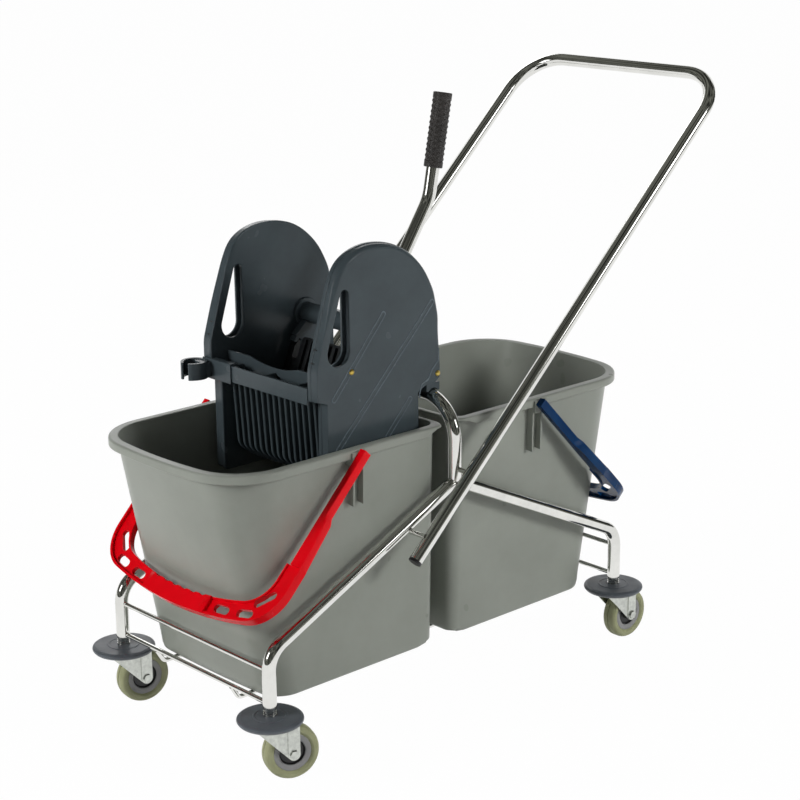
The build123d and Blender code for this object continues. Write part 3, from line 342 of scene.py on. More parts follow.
def arcPoints(centre, radius, startDegrees, endDegrees, count, last=True):
    # evenly spaced points on a circle from one angle to another
    turn = np.radians(np.linspace(startDegrees, endDegrees, count, endpoint=last))
    return np.column_stack([centre[0] + radius * np.cos(turn), centre[1] + radius * np.sin(turn)])


def runPoints(start, end, count):
    # evenly spaced points on a straight run, without its end
    share = np.linspace(0, 1, count, endpoint=False)[:, None]
    return np.asarray(start) * (1 - share) + np.asarray(end) * share


def roundedLoop(corners, perCorner=7, step=6.0):
    # closed outline of corners (a, b, bend): each is cut back by its bend times the tangent of half its turn, an arc
    # joins the cuts, and a straight run between two arcs is divided about every step
    corners = np.asarray(corners, float)
    spots, bends = corners[:, :2], corners[:, 2:3]
    inward = spots - np.roll(spots, 1, axis=0)
    inward /= np.linalg.norm(inward, axis=1, keepdims=True)
    onward = np.roll(inward, -1, axis=0)
    turn = np.arctan2(inward[:, 0] * onward[:, 1] - inward[:, 1] * onward[:, 0], (inward * onward).sum(1))[:, None]
    cut = bends * np.tan(np.abs(turn) / 2)
    start = spots - inward * cut
    side = np.column_stack([-inward[:, 1], inward[:, 0]]) * np.sign(turn)
    centre = start + side * bends
    angle = turn * np.linspace(0, 1, perCorner)[None, :]
    arm = (start - centre)[:, None, :]
    arcs = np.stack([arm[..., 0] * np.cos(angle) - arm[..., 1] * np.sin(angle),
                     arm[..., 0] * np.sin(angle) + arm[..., 1] * np.cos(angle)], axis=-1) + centre[:, None, :]
    pieces = []
    for number in range(len(arcs)):
        following = arcs[(number + 1) % len(arcs)][0]
        count = max(2, int(np.linalg.norm(following - arcs[number][-1]) / step) + 1)
        pieces += [arcs[number][:-1], runPoints(arcs[number][-1], following, count)]
    loop = np.concatenate(pieces)
    area = (loop[:, 0] * np.roll(loop[:, 1], -1) - np.roll(loop[:, 0], -1) * loop[:, 1]).sum()
    return loop if area > 0 else loop[::-1]


def outwardNormals(loop):
    # at right angles to the chord between a point's neighbours, for an outline that runs anticlockwise
    chord = np.roll(loop, -1, axis=0) - np.roll(loop, 1, axis=0)
    chord /= np.linalg.norm(chord, axis=1, keepdims=True)
    return np.column_stack([chord[:, 1], -chord[:, 0]])


# Mesh helpers

def linkPiece(mesh, slot, body):
    # puts a finished mesh in the scene under its own name, with its slot's finish, riding on its body
    obj = addObject(mesh.name, mesh)
    mesh.materials.clear()
    mesh.materials.append(materials[finishOfSlot[slot]])
    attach(obj, body)
    return obj


def wringerPiece(mesh):
    # a piece of the wringer in its own plastic
    return linkPiece(mesh, "wringer_plastic", "wringer")


def smoothShading(mesh, degreesLimit=32):
    # smooth over every edge but those sharper than the limit
    mesh.polygons.foreach_set("use_smooth", np.ones(len(mesh.polygons), bool))
    mesh.set_sharp_from_angle(angle=math.radians(degreesLimit))


edges = dict(limitDegrees=38, mergeGap=0.002, flatDegrees=0.6, tipLow=424.0, longEdge=24.0, longRound=2.6)


def softEdges(piece, widthMm, segments=2):
    # rounds every edge sharper than the limit
    bevel = piece.modifiers.new("softEdges", "BEVEL")
    bevel.width = widthMm * mm
    bevel.segments = segments
    bevel.limit_method = "ANGLE"
    bevel.angle_limit = math.radians(edges["limitDegrees"])
    bevel.use_clamp_overlap = True
    bevel.miter_outer = "MITER_ARC"
    bevel.harden_normals = True
    return piece


def softEdgeCopy(nodeName, widthMm, roundLong):
    # a copy of a CAD node with its flat faces joined and its edges rounded, where asked the long edges more than the
    # rest, and with them the tips of a bail's arms, which lie above tipLow
    mesh = nodes[nodeName].data.copy()
    bm = bmesh.new()
    bm.from_mesh(mesh)
    bmesh.ops.remove_doubles(bm, verts=bm.verts, dist=edges["mergeGap"] * mm)
    bmesh.ops.dissolve_limit(bm, angle_limit=math.radians(edges["flatDegrees"]), verts=bm.verts, edges=bm.edges)
    if roundLong:
        chosen = [e for e in bm.edges if (min(v.co.z for v in e.verts) > edges["tipLow"] * mm
                                          or e.calc_length() > edges["longEdge"] * mm)
                  and e.is_manifold and e.calc_face_angle() > math.radians(edges["limitDegrees"])]
        bmesh.ops.bevel(bm, geom=chosen, offset=edges["longRound"] * mm, segments=3, profile=0.5, affect="EDGES",
                        clamp_overlap=True)
    bm.to_mesh(mesh)
    bm.free()
    mesh.name = nodeName + "_form"
    smoothShading(mesh, edges["limitDegrees"])
    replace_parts(softEdges(linkPiece(mesh, slotOfNode[nodeName], bodyOfNode[nodeName]), widthMm), nodeName)


def finishedMesh(mesh, fills=(), degreesLimit=32):
    # fills the named rings of points, turns every face outwards and shades the mesh smooth
    bm = bmesh.new()
    bm.from_mesh(mesh)
    bm.verts.ensure_lookup_table()
    for rings in fills:
        spots = [bm.verts[i] for ring in rings for i in ring]
        for corners in tessellate_polygon([[bm.verts[i].co for i in ring] for ring in rings]):
            bm.faces.new([spots[i] for i in corners])
    bmesh.ops.recalc_face_normals(bm, faces=bm.faces)
    bm.to_mesh(mesh)
    bm.free()
    smoothShading(mesh, degreesLimit)
    return mesh


def closedMesh(name, points, degreesLimit=32):
    # rings of points, closed round each ring, with a flat cap on the first and the last
    rows, cols = points.shape[:2]
    fills = [[list(range(cols))], [list(range((rows - 1) * cols, rows * cols))]]
    return finishedMesh(gridMesh(name, points * mm, closeV=True), fills, degreesLimit)


def turnedMesh(name, profile, place, segments=64):
    # a closed profile of radius and height turned about the place's own third axis
    turn = np.linspace(0, 2 * math.pi, segments, endpoint=False)[:, None]
    radius, height = profile[:, 0][None, :], profile[:, 1][None, :]
    points = np.stack([radius * np.cos(turn), radius * np.sin(turn), height + 0 * turn], axis=-1)
    turned = points @ place["axes"].T + place["origin"]
    return finishedMesh(gridMesh(name, turned * mm, closeU=True, closeV=True))


def prismMesh(name, loop, low, high, axes=(0, 2, 1)):
    # an outline in the first two axes named, carried straight from low to high along the third
    points = np.zeros((2, len(loop), 3))
    points[:, :, axes[0]] = loop[:, 0]
    points[:, :, axes[1]] = loop[:, 1]
    points[:, :, axes[2]] = np.array([low, high])[:, None]
    return closedMesh(name, points)


def ridgeMesh(name, loop, width, height, faceY, side, closed):
    # an oval bead that follows an outline on a face that looks along y, half of it sunk in
    if closed:
        normals = outwardNormals(loop)
    else:
        chord = np.gradient(loop, axis=0)
        chord /= np.linalg.norm(chord, axis=1, keepdims=True)
        normals = np.column_stack([chord[:, 1], -chord[:, 0]])
    turn = np.linspace(0, 2 * math.pi, 12, endpoint=False)[None, :]
    across, out = width / 2 * np.cos(turn), height * np.sin(turn)
    points = np.stack([loop[:, :1] + normals[:, :1] * across, side * (faceY + out) + 0 * loop[:, :1],
                       loop[:, 1:] + normals[:, 1:] * across], axis=-1)
    if closed:
        return finishedMesh(gridMesh(name, points * mm, closeU=True, closeV=True), degreesLimit=60)
    return closedMesh(name, points, 60)


alongY = np.array([[1.0, 0, 0], [0, 0, 1.0], [0, -1.0, 0]])  # the third axis points along +y


# Buckets, as rings from the middle of the floor inside, up the wall, over the rim and down to the foot

bucket = dict(low=96, height=345, wallHalf=157, sideDraft=12, endGap=31, endDraft=78, bowTop=17, bowLow=5,
              endCornerTop=78, endCornerLow=40, flatCornerTop=22, flatCornerLow=16, flat=338, flangeOut=5.5,
              rimOut=11, rimCorner=19, rimRound=3.4, mouthRound=1.4, underRound=1.5, wall=3, floor=4, floorRound=6,
              floorEdge=15.5, footRise=5, footFrom=(319, 325), footRound=5, skirt=13, flatSkirt=3.8,
              skirtFrom=(306, 311), skirtEdge=((0, 0.9), (0.4, 0.3), (1, 0), (2.2, 0), (2.8, 0.5)),
              innerRows=(14, 3), outerRows=(20, 24))


def bowedLoop(flat, half, end, bow, flatCorner, endCorner):
    # straight end at the larger x, bowed end at the smaller x, four rounded corners, and always as many points
    bigR = (half ** 2 + bow ** 2) / (2 * bow)
    bigX = end + bigR
    filletX = bigX - math.sqrt((bigR - endCorner) ** 2 - (half - endCorner) ** 2)
    meet = math.degrees(math.atan2(half - endCorner, filletX - bigX))
    upper = np.concatenate([
        runPoints((flat, 0), (flat, half - flatCorner), 8),
        arcPoints((flat - flatCorner, half - flatCorner), flatCorner, 0, 90, 12, False),
        runPoints((flat - flatCorner, half), (filletX, half), 16),
        arcPoints((filletX, half - endCorner), endCorner, 90, meet, 20, False),
        arcPoints((bigX, 0), bigR, meet, 180, 14),
    ])
    return np.concatenate([upper, (upper * (1, -1))[-2:0:-1]])


def wallLoop(z, inset):
    # the wall's outline at a height, drawn in by the inset
    b = bucket
    share = (z - b["low"]) / b["height"]
    return bowedLoop(b["flat"] - inset, b["wallHalf"] - b["sideDraft"] * (1 - share) - inset,
                     b["endGap"] - b["endDraft"] * share + inset, b["bowLow"] + (b["bowTop"] - b["bowLow"]) * share,
                     b["flatCornerLow"] + (b["flatCornerTop"] - b["flatCornerLow"]) * share - inset,
                     b["endCornerLow"] + (b["endCornerTop"] - b["endCornerLow"]) * share - inset)


def rimLoop(inset):
    # the rim's outer edge, drawn in by the inset
    b = bucket
    return bowedLoop(b["flat"] + b["flangeOut"] - inset, b["wallHalf"] + b["rimOut"] - inset,
                     b["endGap"] - b["endDraft"] - b["rimOut"] + inset, b["bowTop"], b["rimCorner"],
                     b["endCornerTop"] + b["rimOut"] - inset)


def quarterRound(radius, *angles):
    # how far a quarter circle falls short of its two sides, at each of the angles in degrees
    turn = np.radians(angles)
    return zip(radius * (1 - np.sin(turn)), radius * (1 - np.cos(turn)))


def bucketRings():
    # pairs of an outline and its height, the same count of points in each, made into one array
    b = bucket
    wall, low, top, floorZ = b["wall"], b["low"], rimZ, b["low"] + b["floor"]
    rings = [(wallLoop(floorZ, wall + b["floorRound"] + 0.5), floorZ)]
    rings += [(wallLoop(floorZ, wall + inset), floorZ + rise)
              for inset, rise in quarterRound(b["floorRound"], 0, 30, 60, 90)]
    rings += [(wallLoop(z, wall), z) for z in np.linspace(floorZ + b["innerRows"][0], top - b["innerRows"][1], 7)]
    # over the mouth's round edge, out along the flat of the rim and round its outer edge
    rings += [(wallLoop(top, wall - out), top - fall) for fall, out in quarterRound(b["mouthRound"], 0, 30, 60, 90)]
    rings.append((rimLoop(b["rimRound"] + 0.6), top))
    rings += [(rimLoop(inset), top - fall) for inset, fall in quarterRound(b["rimRound"], 0, 18, 36, 54, 72, 90)]
    # the skirt's lower edge, as insets and as rises that count in full where the skirt is deep
    drop = b["skirt"] - (b["skirt"] - b["flatSkirt"]) * smoothStep(rimLoop(0)[:, 0], *b["skirtFrom"])
    deep = smoothStep(drop, 3, 12)
    rings += [(rimLoop(inset), top - drop + rise * deep) for inset, rise in b["skirtEdge"]]
    # the underside of the rim, and the round corner where it meets the wall
    rings += [(rimLoop(3.0), top - 3.6), (wallLoop(top, -1.6), top - 3.2)]
    rings += [(wallLoop(top - 4, -out), top - 3.3 - fall) for out, fall in quarterRound(b["underRound"], 0, 45, 90)]
    rings += [(wallLoop(z, 0), z) for z in np.linspace(top - b["outerRows"][0], low + b["outerRows"][1], 8)]
    # the foot, which rises under the flat end, and the floor's underside
    foot = wallLoop(low, 0)
    footZ = low + b["footRise"] * smoothStep(foot[:, 0], *b["footFrom"])
    rings.append((wallLoop(low + 12, 0), footZ + 9))
    rings += [(wallLoop(low + 3, inset), footZ + rise)
              for rise, inset in quarterRound(b["footRound"], 0, 22, 45, 68, 90)]
    rings += [(wallLoop(low, b["footRound"] + 1), footZ), (wallLoop(low, b["floorEdge"]), low)]
    loops = np.stack([loop for loop, z in rings])
    heights = np.stack([np.broadcast_to(z, len(foot)) for loop, z in rings])
    return np.stack([frontLeg + loops[..., 0], loops[..., 1], heights], axis=-1)


lug = dict(pivot=172.0, half=12.0, low=22.0, top=3.4, root=155.4, out=171.0, soften=0.7)
fin = dict(at=(-6.0, 12.0), thick=3.0, top=3.2, out=168.0, lowOut=166.96, step=(14.0, 24.0), low=80.0, lowRoot=152.6,
           soften=0.5)
frontRings = bucketRings()
rearRings = frontRings * (-1, 1, 1) + (2 * middleX, 0, 0)
for bucketName, points in (("front_bucket", frontRings), ("rear_bucket", rearRings)):
    body = bodyOfNode[bucketName]
    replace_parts(linkPiece(closedMesh(bucketName + "_shell", points), "bucket_plastic", body), bucketName)
    flip = -1 if bucketName == "rear_bucket" else 1
    centre = frontLeg + lug["pivot"] if flip == 1 else 2 * middleX - frontLeg - lug["pivot"]
    for side, sideName in ((-1, "left"), (1, "right")):
        across = np.array([(lug["root"], 0, 0), (fin["out"], 0, 0), (fin["out"], -fin["step"][0], 0.6),
                           (fin["lowOut"], -fin["step"][1], 0.6), (fin["lowOut"] - 1.2, -fin["low"], 0.6),
                           (fin["lowRoot"], -fin["low"] + 1.5, 0)])
        finLoop = roundedLoop(across + (0, rimZ - fin["top"], 0), 3) * (side, 1)
        for number, place in enumerate(fin["at"]):
            x = centre + flip * place
            mesh = prismMesh("%s_fin_%s_%d" % (bucketName, sideName, number), finLoop, x - fin["thick"] / 2,
                             x + fin["thick"] / 2, (1, 2, 0))
            softEdges(linkPiece(mesh, "bucket_plastic", body), fin["soften"])
        blockLow, blockTop = rimZ - lug["low"], rimZ - lug["top"]
        block = roundedLoop([(centre - lug["half"], blockLow, 1.5), (centre + lug["half"], blockLow, 1.5),
                             (centre + lug["half"], blockTop, 0), (centre - lug["half"], blockTop, 0)], 3)
        mesh = prismMesh("%s_bearing_%s" % (bucketName, sideName), block, side * lug["root"], side * lug["out"])
        softEdges(linkPiece(mesh, "bucket_plastic", body), lug["soften"])
print("buckets made")


# Wringer cheeks: an outline in side view, a rounded section across the thickness, and the teardrop hole

cheek = dict(inner=108, thick=20, lip=7, lipStep=0.9, outerRound=(1.6, 7.5), holeRound=1.6,
             corners=((134, 64, 3), (134, 110, 60), (175, 246, 42), (204, 270, 60), (262, 277, 100), (323, 254, 75),
                      (360, 196, 75), (370, 150, 75), (370, 58, 8), (360, 50, 3), (340, 48, 3), (327, 42, 3),
                      (327, -91, 8), (152, -91, 8), (152, 58, 3)),
             holeTop=(187.5, 208.5, 7.5), holeLow=(175.5, 129, 20),
             channels=(((259, 170), (165, 63)), ((353, 172), (171, -11)), ((309, 36), (265, -10))),
             channelHalf=3.6, screws=((198, 97.5), (364, 64)), shaft=(313, 125),
             slits=((136.8, 119, 72.9), (142.4, 137.3, 72.9)), slitHalf=(0.9, 3.6), slitY=8, slitIn=3,
             slitOut=0.2, crown=(170, 215), meanReach=6, skin=4.2, hollow=7,
             aheadZ=(150, 235), behindZ=(75, 130), behindX=(290, 320),
             channelBead=(2, 0.7, 0.1), notchBead=(2.4, 1.1, 0.2), bossR=(15.2, 22), bossY=(-5, 0.5),
             screwR=4.2, domeR=4.8)
outerY = cheek["inner"] + cheek["thick"]
toFrame = np.array([frontLeg, rimZ])


def tearLoop(top, low):
    # the outer common tangents of two circles joined by the outside arc of each
    (x1, z1, r1), (x2, z2, r2) = top, low
    gap = math.hypot(x1 - x2, z1 - z2)
    lean = math.degrees(math.atan2(z1 - z2, x1 - x2))
    spread = math.degrees(math.acos((r2 - r1) / gap))
    upper = arcPoints((x1, z1), r1, lean - spread, lean + spread, 16)
    lower = arcPoints((x2, z2), r2, lean + spread, lean - spread + 360, 28)
    return np.concatenate([upper, runPoints(upper[-1], lower[0], 10)[1:],
                           lower, runPoints(lower[-1], upper[0], 10)[1:]])


def cheekMesh(name, side):
    # two tubes of rings, one round the outline and one round the hole, joined by the two faces
    c = cheek
    loop = roundedLoop(c["corners"])
    # a running mean along the outline softens the bends of the crown and leaves the lower half as drawn
    reach = c["meanReach"]
    soft = sum(np.roll(loop, shift, axis=0) for shift in range(-reach, reach + 1)) / (2 * reach + 1)
    loop = loop + (soft - loop) * smoothStep(loop[:, 1], *c["crown"])[:, None]
    x, z = loop[:, 0], loop[:, 1]
    # the outer edge is rounded more from the bands named ahead and behind on, towards the crown
    ahead = smoothStep(z, *c["aheadZ"])
    behind = smoothStep(z, *c["behindZ"]) * smoothStep(x, *c["behindX"])
    small, large = c["outerRound"]
    edge = small + (large - small) * np.maximum(ahead, behind)
    normals = outwardNormals(loop)
    lip, lipStep, thick, skin = c["lip"], c["lipStep"], c["thick"], c["skin"]
    # how far in from the outline and how deep from the inner face: first the lip, then the round outer edge
    inside = np.array([(3.0, 0.0), (2.2, 0.0), (1.0, 0.1), (0.3, 0.5), (0.0, 1.4), (0.0, lip - 0.6), (0.2, lip - 0.1),
                       (lipStep - 0.1, lip + 0.2), (lipStep, lip + 0.7)])
    turn = np.radians(np.linspace(0, 90, 9))[:, None]
    offsets = np.concatenate([np.tile(inside[:, :1], (1, len(loop))), lipStep + edge * (1 - np.cos(turn)),
                              [lipStep + edge + 0.8]])
    depths = np.concatenate([np.tile(inside[:, 1:], (1, len(loop))), thick - edge + edge * np.sin(turn),
                             [thick + 0 * edge]])
    outer = np.stack([x - normals[:, 0] * offsets, side * (c["inner"] + depths), z - normals[:, 1] * offsets], axis=-1)
    hole = tearLoop(c["holeTop"], c["holeLow"])
    holeNormals = outwardNormals(hole)
    r, hollow = c["holeRound"], c["hollow"]
    # the same two measures for the hole: its inner edge, the hollow between the two skins, its outer edge
    cut = np.array([(r + 0.8, 0), (r, 0), (r * 0.3, r * 0.3), (0, r), (0, skin - 0.6), (0.6, skin), (hollow, skin),
                    (hollow, thick - skin), (0.6, thick - skin), (0, thick - skin + 0.6), (0, thick - r),
                    (r * 0.3, thick - r * 0.3), (r, thick), (r + 0.8, thick)])
    inner = np.stack([hole[:, 0] + holeNormals[:, 0] * cut[:, :1], side * (c["inner"] + cut[:, 1:]) + 0 * hole[:, 0],
                      hole[:, 1] + holeNormals[:, 1] * cut[:, :1]], axis=-1)
    shift = (toFrame[0], 0, toFrame[1])
    outerMesh, innerMesh = (gridMesh(name, (points + shift) * mm, closeV=True) for points in (outer, inner))
    bm = bmesh.new()
    bm.from_mesh(outerMesh)
    bm.from_mesh(innerMesh)
    bm.to_mesh(outerMesh)
    bm.free()
    bpy.data.meshes.remove(innerMesh)
    cols, holeCols = outer.shape[1], inner.shape[1]
    start = outer.shape[0] * cols
    end = start + inner.shape[0] * holeCols
    fills = [[list(range(cols)), list(range(start, start + holeCols))],
             [list(range(start - cols, start)), list(range(end - holeCols, end))]]
    return finishedMesh(outerMesh, fills)


def stadiumLoop(start, end, half):
    # a straight slot's outline, with a half circle at each end
    start, end = np.asarray(start, float), np.asarray(end, float)
    along = (end - start) / np.linalg.norm(end - start) * half
    beside = np.array([-along[1], along[0]])
    corners = [start - along - beside, end + along - beside, end + along + beside, start - along + beside]
    return roundedLoop([(a, b, half * 0.98) for a, b in corners], 9)


def addRidge(name, loop, bead, side, closed):
    # a bead on the cheek's outer face, given as width, height and depth, in a paler plastic that paints the highlight
    # the bead catches
    width, height, sunk = bead
    piece = wringerPiece(ridgeMesh(name, loop + toFrame, width, height, outerY - sunk, side, closed))
    # the ridge's paler plastic paints the highlight that the raised line catches
    piece.data.materials[0] = materials["slatePaintedHighlightRidge"]


seat = dict(width=26.0, low=39.0, top=51.0, barR=10.4, barX=355.0, barZ=33.0)
bite = math.degrees(math.asin((seat["low"] - seat["barZ"]) / seat["barR"]))
padStart, padEnd = seat["barX"] - seat["width"] / 2, seat["barX"] + seat["width"] / 2
padLoop = np.concatenate([
    [(padStart, seat["top"]), (padStart, seat["low"])],
    arcPoints((seat["barX"], seat["barZ"]), seat["barR"], 180 - bite, bite, 17),
    [(padEnd, seat["low"]), (padEnd, seat["top"])]])
notch = dict(corners=((366.5, 104, 4), (366, 84, 8), (351, 70, 8), (346, 59, 6), (332, 53, 5), (328, 40, 3),
                      (328, 30, 1), (500, 30, 1), (500, 104, 1)), keepX=367.0, keepZ=32.0)
# the corners beyond keepX and keepZ only close the outline, so their part is dropped and the rest runs upwards
notchPath = roundedLoop(notch["corners"], 6, 3.0)
notchPath = notchPath[(notchPath[:, 0] < notch["keepX"]) & (notchPath[:, 1] > notch["keepZ"])]
notchPath = notchPath[np.argsort(notchPath[:, 1])]
bore, rim = cheek["bossR"]
footY, topY = (cheek["inner"] + y for y in cheek["bossY"])
boss = roundedLoop([(bore, footY, 0.3), (rim, footY, 1.2), (rim, topY, 0), (bore, topY, 0)], 4)
dome = np.concatenate([[(0.0001, outerY - 1.0), (cheek["screwR"], outerY - 1.0)],
                       arcPoints((0, outerY - 1.4), cheek["domeR"], 25, 89, 9)])
for side, sideName in ((-1, "left"), (1, "right")):
    node = "cheek_" + sideName
    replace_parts(wringerPiece(cheekMesh(node + "_shell", side)), node)
    for number, (start, end) in enumerate(cheek["channels"]):
        channel = stadiumLoop(start, end, cheek["channelHalf"])
        addRidge("%s_channel_%d" % (node, number), channel, cheek["channelBead"], side, True)
    addRidge(node + "_notch_flange", notchPath, cheek["notchBead"], side, False)
    for number, (slitX, slitZ, slope) in enumerate(cheek["slits"]):
        # a dark slit across the front edge: a thin black bar sunk in the edge, with only its face showing, painted
        # shade for the dark inside of the slit
        lean = math.radians(slope)
        along = np.array([math.cos(lean), 0, math.sin(lean)])
        outward = np.array([-math.sin(lean), 0, math.cos(lean)])
        a, b = cheek["slitHalf"]
        flat = roundedLoop([(-a, -b, 0.8), (a, -b, 0.8), (a, b, 0.8), (-a, b, 0.8)], 5)
        spot = np.array([frontLeg + slitX, side * (cheek["inner"] + cheek["slitY"]), rimZ + slitZ])
        sheet = spot + flat[:, :1] * along + flat[:, 1:] * np.array([0, 1, 0])
        bar = np.stack([sheet - outward * cheek["slitIn"], sheet + outward * cheek["slitOut"]])
        linkPiece(closedMesh("%s_slit_%d" % (node, number), bar), "black_plastic", "wringer")
    pad = prismMesh(node + "_hook_pad", padLoop + toFrame, side * cheek["inner"], side * outerY)
    softEdges(wringerPiece(pad), 0.8)
    shaftX, shaftZ = cheek["shaft"]
    place = dict(origin=np.array([frontLeg + shaftX, 0, rimZ + shaftZ]), axes=alongY)
    wringerPiece(turnedMesh(node + "_shaft_boss", boss * (1, side), place))
    for number, (screwX, screwZ) in enumerate(cheek["screws"]):
        place = dict(origin=np.array([frontLeg + screwX, 0, rimZ + screwZ]), axes=alongY)
        screw = turnedMesh("%s_brass_screw_%d" % (node, number), dome * (1, side), place, 32)
        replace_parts(linkPiece(screw, "brass", "wringer"), "cheek_screws")
print("wringer cheeks made")


# Grille: upright slats that lean back and curl under the jaw at the foot, all in one piece

grille = dict(count=16, half=98.0, width=5.6, deep=11.0, top=(163.0, 60.0), knee=(171.0, -53.0), foot=(198.0, -74.0),
              bend=24.0)
topX, topZ = grille["top"]
footX, footZ = grille["foot"]
# rounded as a closed outline, of which only the part from the top over the knee to the foot is kept
kneePath = roundedLoop([(topX, topZ, 0.1), (*grille["knee"], grille["bend"]), (footX, footZ, 0.1), (footX, topZ, 0.1)],
                       9, 12.0)
kneePath = kneePath[(kneePath[:, 0] < footX - 0.5) & (kneePath[:, 1] < topZ - 0.3)]
kneePath = kneePath[np.argsort(kneePath[:, 0] - kneePath[:, 1])]
kneePath = np.concatenate([[grille["top"]], kneePath, [grille["foot"]]])
way = np.gradient(kneePath, axis=0)
way /= np.linalg.norm(way, axis=1, keepdims=True)
back = np.column_stack([-way[:, 1], way[:, 0]])
half, tip = grille["width"] / 2, grille["width"] / 2 - 0.8
sectionLoop = roundedLoop([(-half, 0, 2.2), (half, 0, 2.2), (tip, grille["deep"], 0.3), (-tip, grille["deep"], 0.3)],
                          4, 6.0)
slatPoints = np.stack([frontLeg + kneePath[:, :1] + back[:, :1] * sectionLoop[:, 1],
                       sectionLoop[:, 0] + 0 * kneePath[:, :1],
                       rimZ + kneePath[:, 1:] + back[:, 1:] * sectionLoop[:, 1]], axis=-1)
bm = bmesh.new()
for y in np.linspace(-grille["half"], grille["half"], grille["count"]):
    slat = closedMesh("slat", slatPoints + (0, y, 0), 50)
    bm.from_mesh(slat)
    bpy.data.meshes.remove(slat)
grilleMesh = bpy.data.meshes.new("front_grille_slats")
bm.to_mesh(grilleMesh)
bm.free()
smoothShading(grilleMesh, 50)
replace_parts(wringerPiece(grilleMesh), "front_grille")


# Mop clip: an open ring of thick springy plastic with rounded lips, on a sleeve that wraps the rail's end

clip = dict(centre=(-318.05, 122.0), inner=15.0, wall=4.8, faceDegrees=189.0, mouthDegrees=42.0, low=498.5, high=523.5,
            lip=1.6)
face, mouthHalf = clip["faceDegrees"], clip["mouthDegrees"] / 2
turnOut = np.radians(np.linspace(face + mouthHalf, face - mouthHalf + 360, 56))
fromLip = np.minimum(turnOut - turnOut[0], turnOut[-1] - turnOut)
middle = clip["inner"] + clip["wall"] / 2 + clip["lip"] * (1 - smoothStep(fromLip, 0.02, 0.5))
thin = clip["wall"] / 2 * (0.8 + 0.2 * smoothStep(fromLip, 0, 0.6))
circle = np.column_stack([np.cos(turnOut), np.sin(turnOut)])
outside, inside = circle * (middle + thin)[:, None], circle * (middle - thin)[:, None]


def lipArc(a, b):
    # half a circle whose diameter runs from one point to another, on the right of the way
    centre, arm = (a + b) / 2, (a - b) / 2
    turn = np.radians(np.linspace(0, 180, 9)[1:-1])[:, None]
    side = np.array([-arm[1], arm[0]])
    return centre + arm * np.cos(turn) + side * np.sin(turn)


ring = np.concatenate([outside, lipArc(outside[-1], inside[-1]), inside[::-1], lipArc(inside[0], outside[0])])
clipMesh = prismMesh("mop_clip_ring", ring + clip["centre"], clip["low"], clip["high"], (0, 1, 2))
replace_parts(softEdges(wringerPiece(clipMesh), 1.1, 3), "mop_clip")
sleeve = dict(x=(-300.6, -287.0), y=(60.0, 125.0), z=(495.5, 526.0), bend=2.0)
sleeveLoop = roundedLoop([(sleeve["x"][a], sleeve["z"][b], sleeve["bend"])
                          for a, b in ((0, 0), (1, 0), (1, 1), (0, 1))], 5)
softEdges(wringerPiece(prismMesh("mop_clip_sleeve", sleeveLoop, *sleeve["y"])), 1.0)
neck = dict(corners=((-313, 104, 3), (-299, 104, 3), (-299, 124.5, 3), (-305, 130, 4), (-313, 130, 4)), z=(500, 522))
neckMesh = prismMesh("mop_clip_neck", roundedLoop(neck["corners"], 5), *neck["z"], (0, 1, 2))
softEdges(wringerPiece(neckMesh), 1.0)
print("grille and clip made")


# Hand grip: a sleeve whose radius swells into staggered nubs between two plain collars

grip = dict(knee=(1.0, 742.42), lean=79.0, upper=152.0, y=-40.0, length=110.0, r=13.3, collarR=14.0, collar=9.0,
            nubs=10, pitch=8.0, nubR=2.3, nubOut=0.9, boreR=10.1, boreDeep=3.0, endRound=1.2, capR=8.0,
            nubEdge=(0.6, 1.15), rows=166, columns=120)


def gripMesh(name):
    # rings from the bore at the base, along the sleeve and over its closed tip
    g = grip
    lean = math.radians(g["lean"])
    axis = np.array([math.cos(lean), 0, math.sin(lean)])
    tip = np.array([g["knee"][0], g["y"], g["knee"][1]]) + axis * (g["upper"] + 3)
    base = tip - axis * g["length"]
    along = np.linspace(0, g["length"], g["rows"])[:, None]
    turn = np.linspace(0, 2 * math.pi, g["columns"], endpoint=False)[None, :]
    plain = 1 - smoothStep(along, g["collar"] - 1, g["collar"] + 1) * (
        1 - smoothStep(along, g["length"] - g["collar"] - 1, g["length"] - g["collar"] + 1))
    radius = g["r"] + (g["collarR"] - g["r"]) * plain + 0 * turn
    column = turn / (2 * math.pi) * g["nubs"]
    stagger = (np.floor(column) % 2) * 0.5
    aroundMm = (column - np.floor(column) - 0.5) * 2 * math.pi * g["r"] / g["nubs"]
    row = (along - g["collar"]) / g["pitch"] + stagger
    alongMm = (row - np.floor(row) - 0.5) * g["pitch"]
    nub = 1 - smoothStep(np.hypot(aroundMm, alongMm), *(g["nubR"] * share for share in g["nubEdge"]))
    radius = radius + g["nubOut"] * nub * (1 - plain)
    fromEnd = np.clip(np.minimum(along, g["length"] - along) / g["endRound"], 0, 1)
    radius = radius - g["endRound"] * (1 - np.sqrt(np.clip(1 - (1 - fromEnd) ** 2, 0, 1)))
    beside = np.array([0.0, 1.0, 0.0])
    above = np.cross(axis, beside)
    circle = np.cos(turn)[..., None] * beside + np.sin(turn)[..., None] * above
    body = base + axis * along[..., None] + circle * radius[..., None]
    bottom = base + axis * np.array([0.0, g["boreDeep"]])[:, None, None] + circle * g["boreR"]
    top = tip + circle * g["capR"] + axis * 0.15
    return closedMesh(name, np.concatenate([bottom[::-1], body, top[0][None]]), 50)


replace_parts(linkPiece(gripMesh("lever_grip_sleeve"), "grip_rubber", "lever_body"), "lever_grip")
print("hand grip made")


# Castors: bumper disc, ferrule, tyre, wheel centre and the fork's pressed strip

castor = dict(x=(frontLeg, 279.0), y=173.0, trail=28.0, axleZ=40.0, stripY=(15.6, 17.3),
              turns=dict(front_left=-20.0, front_right=-10.0, rear_left=0.0, rear_right=-8.0))
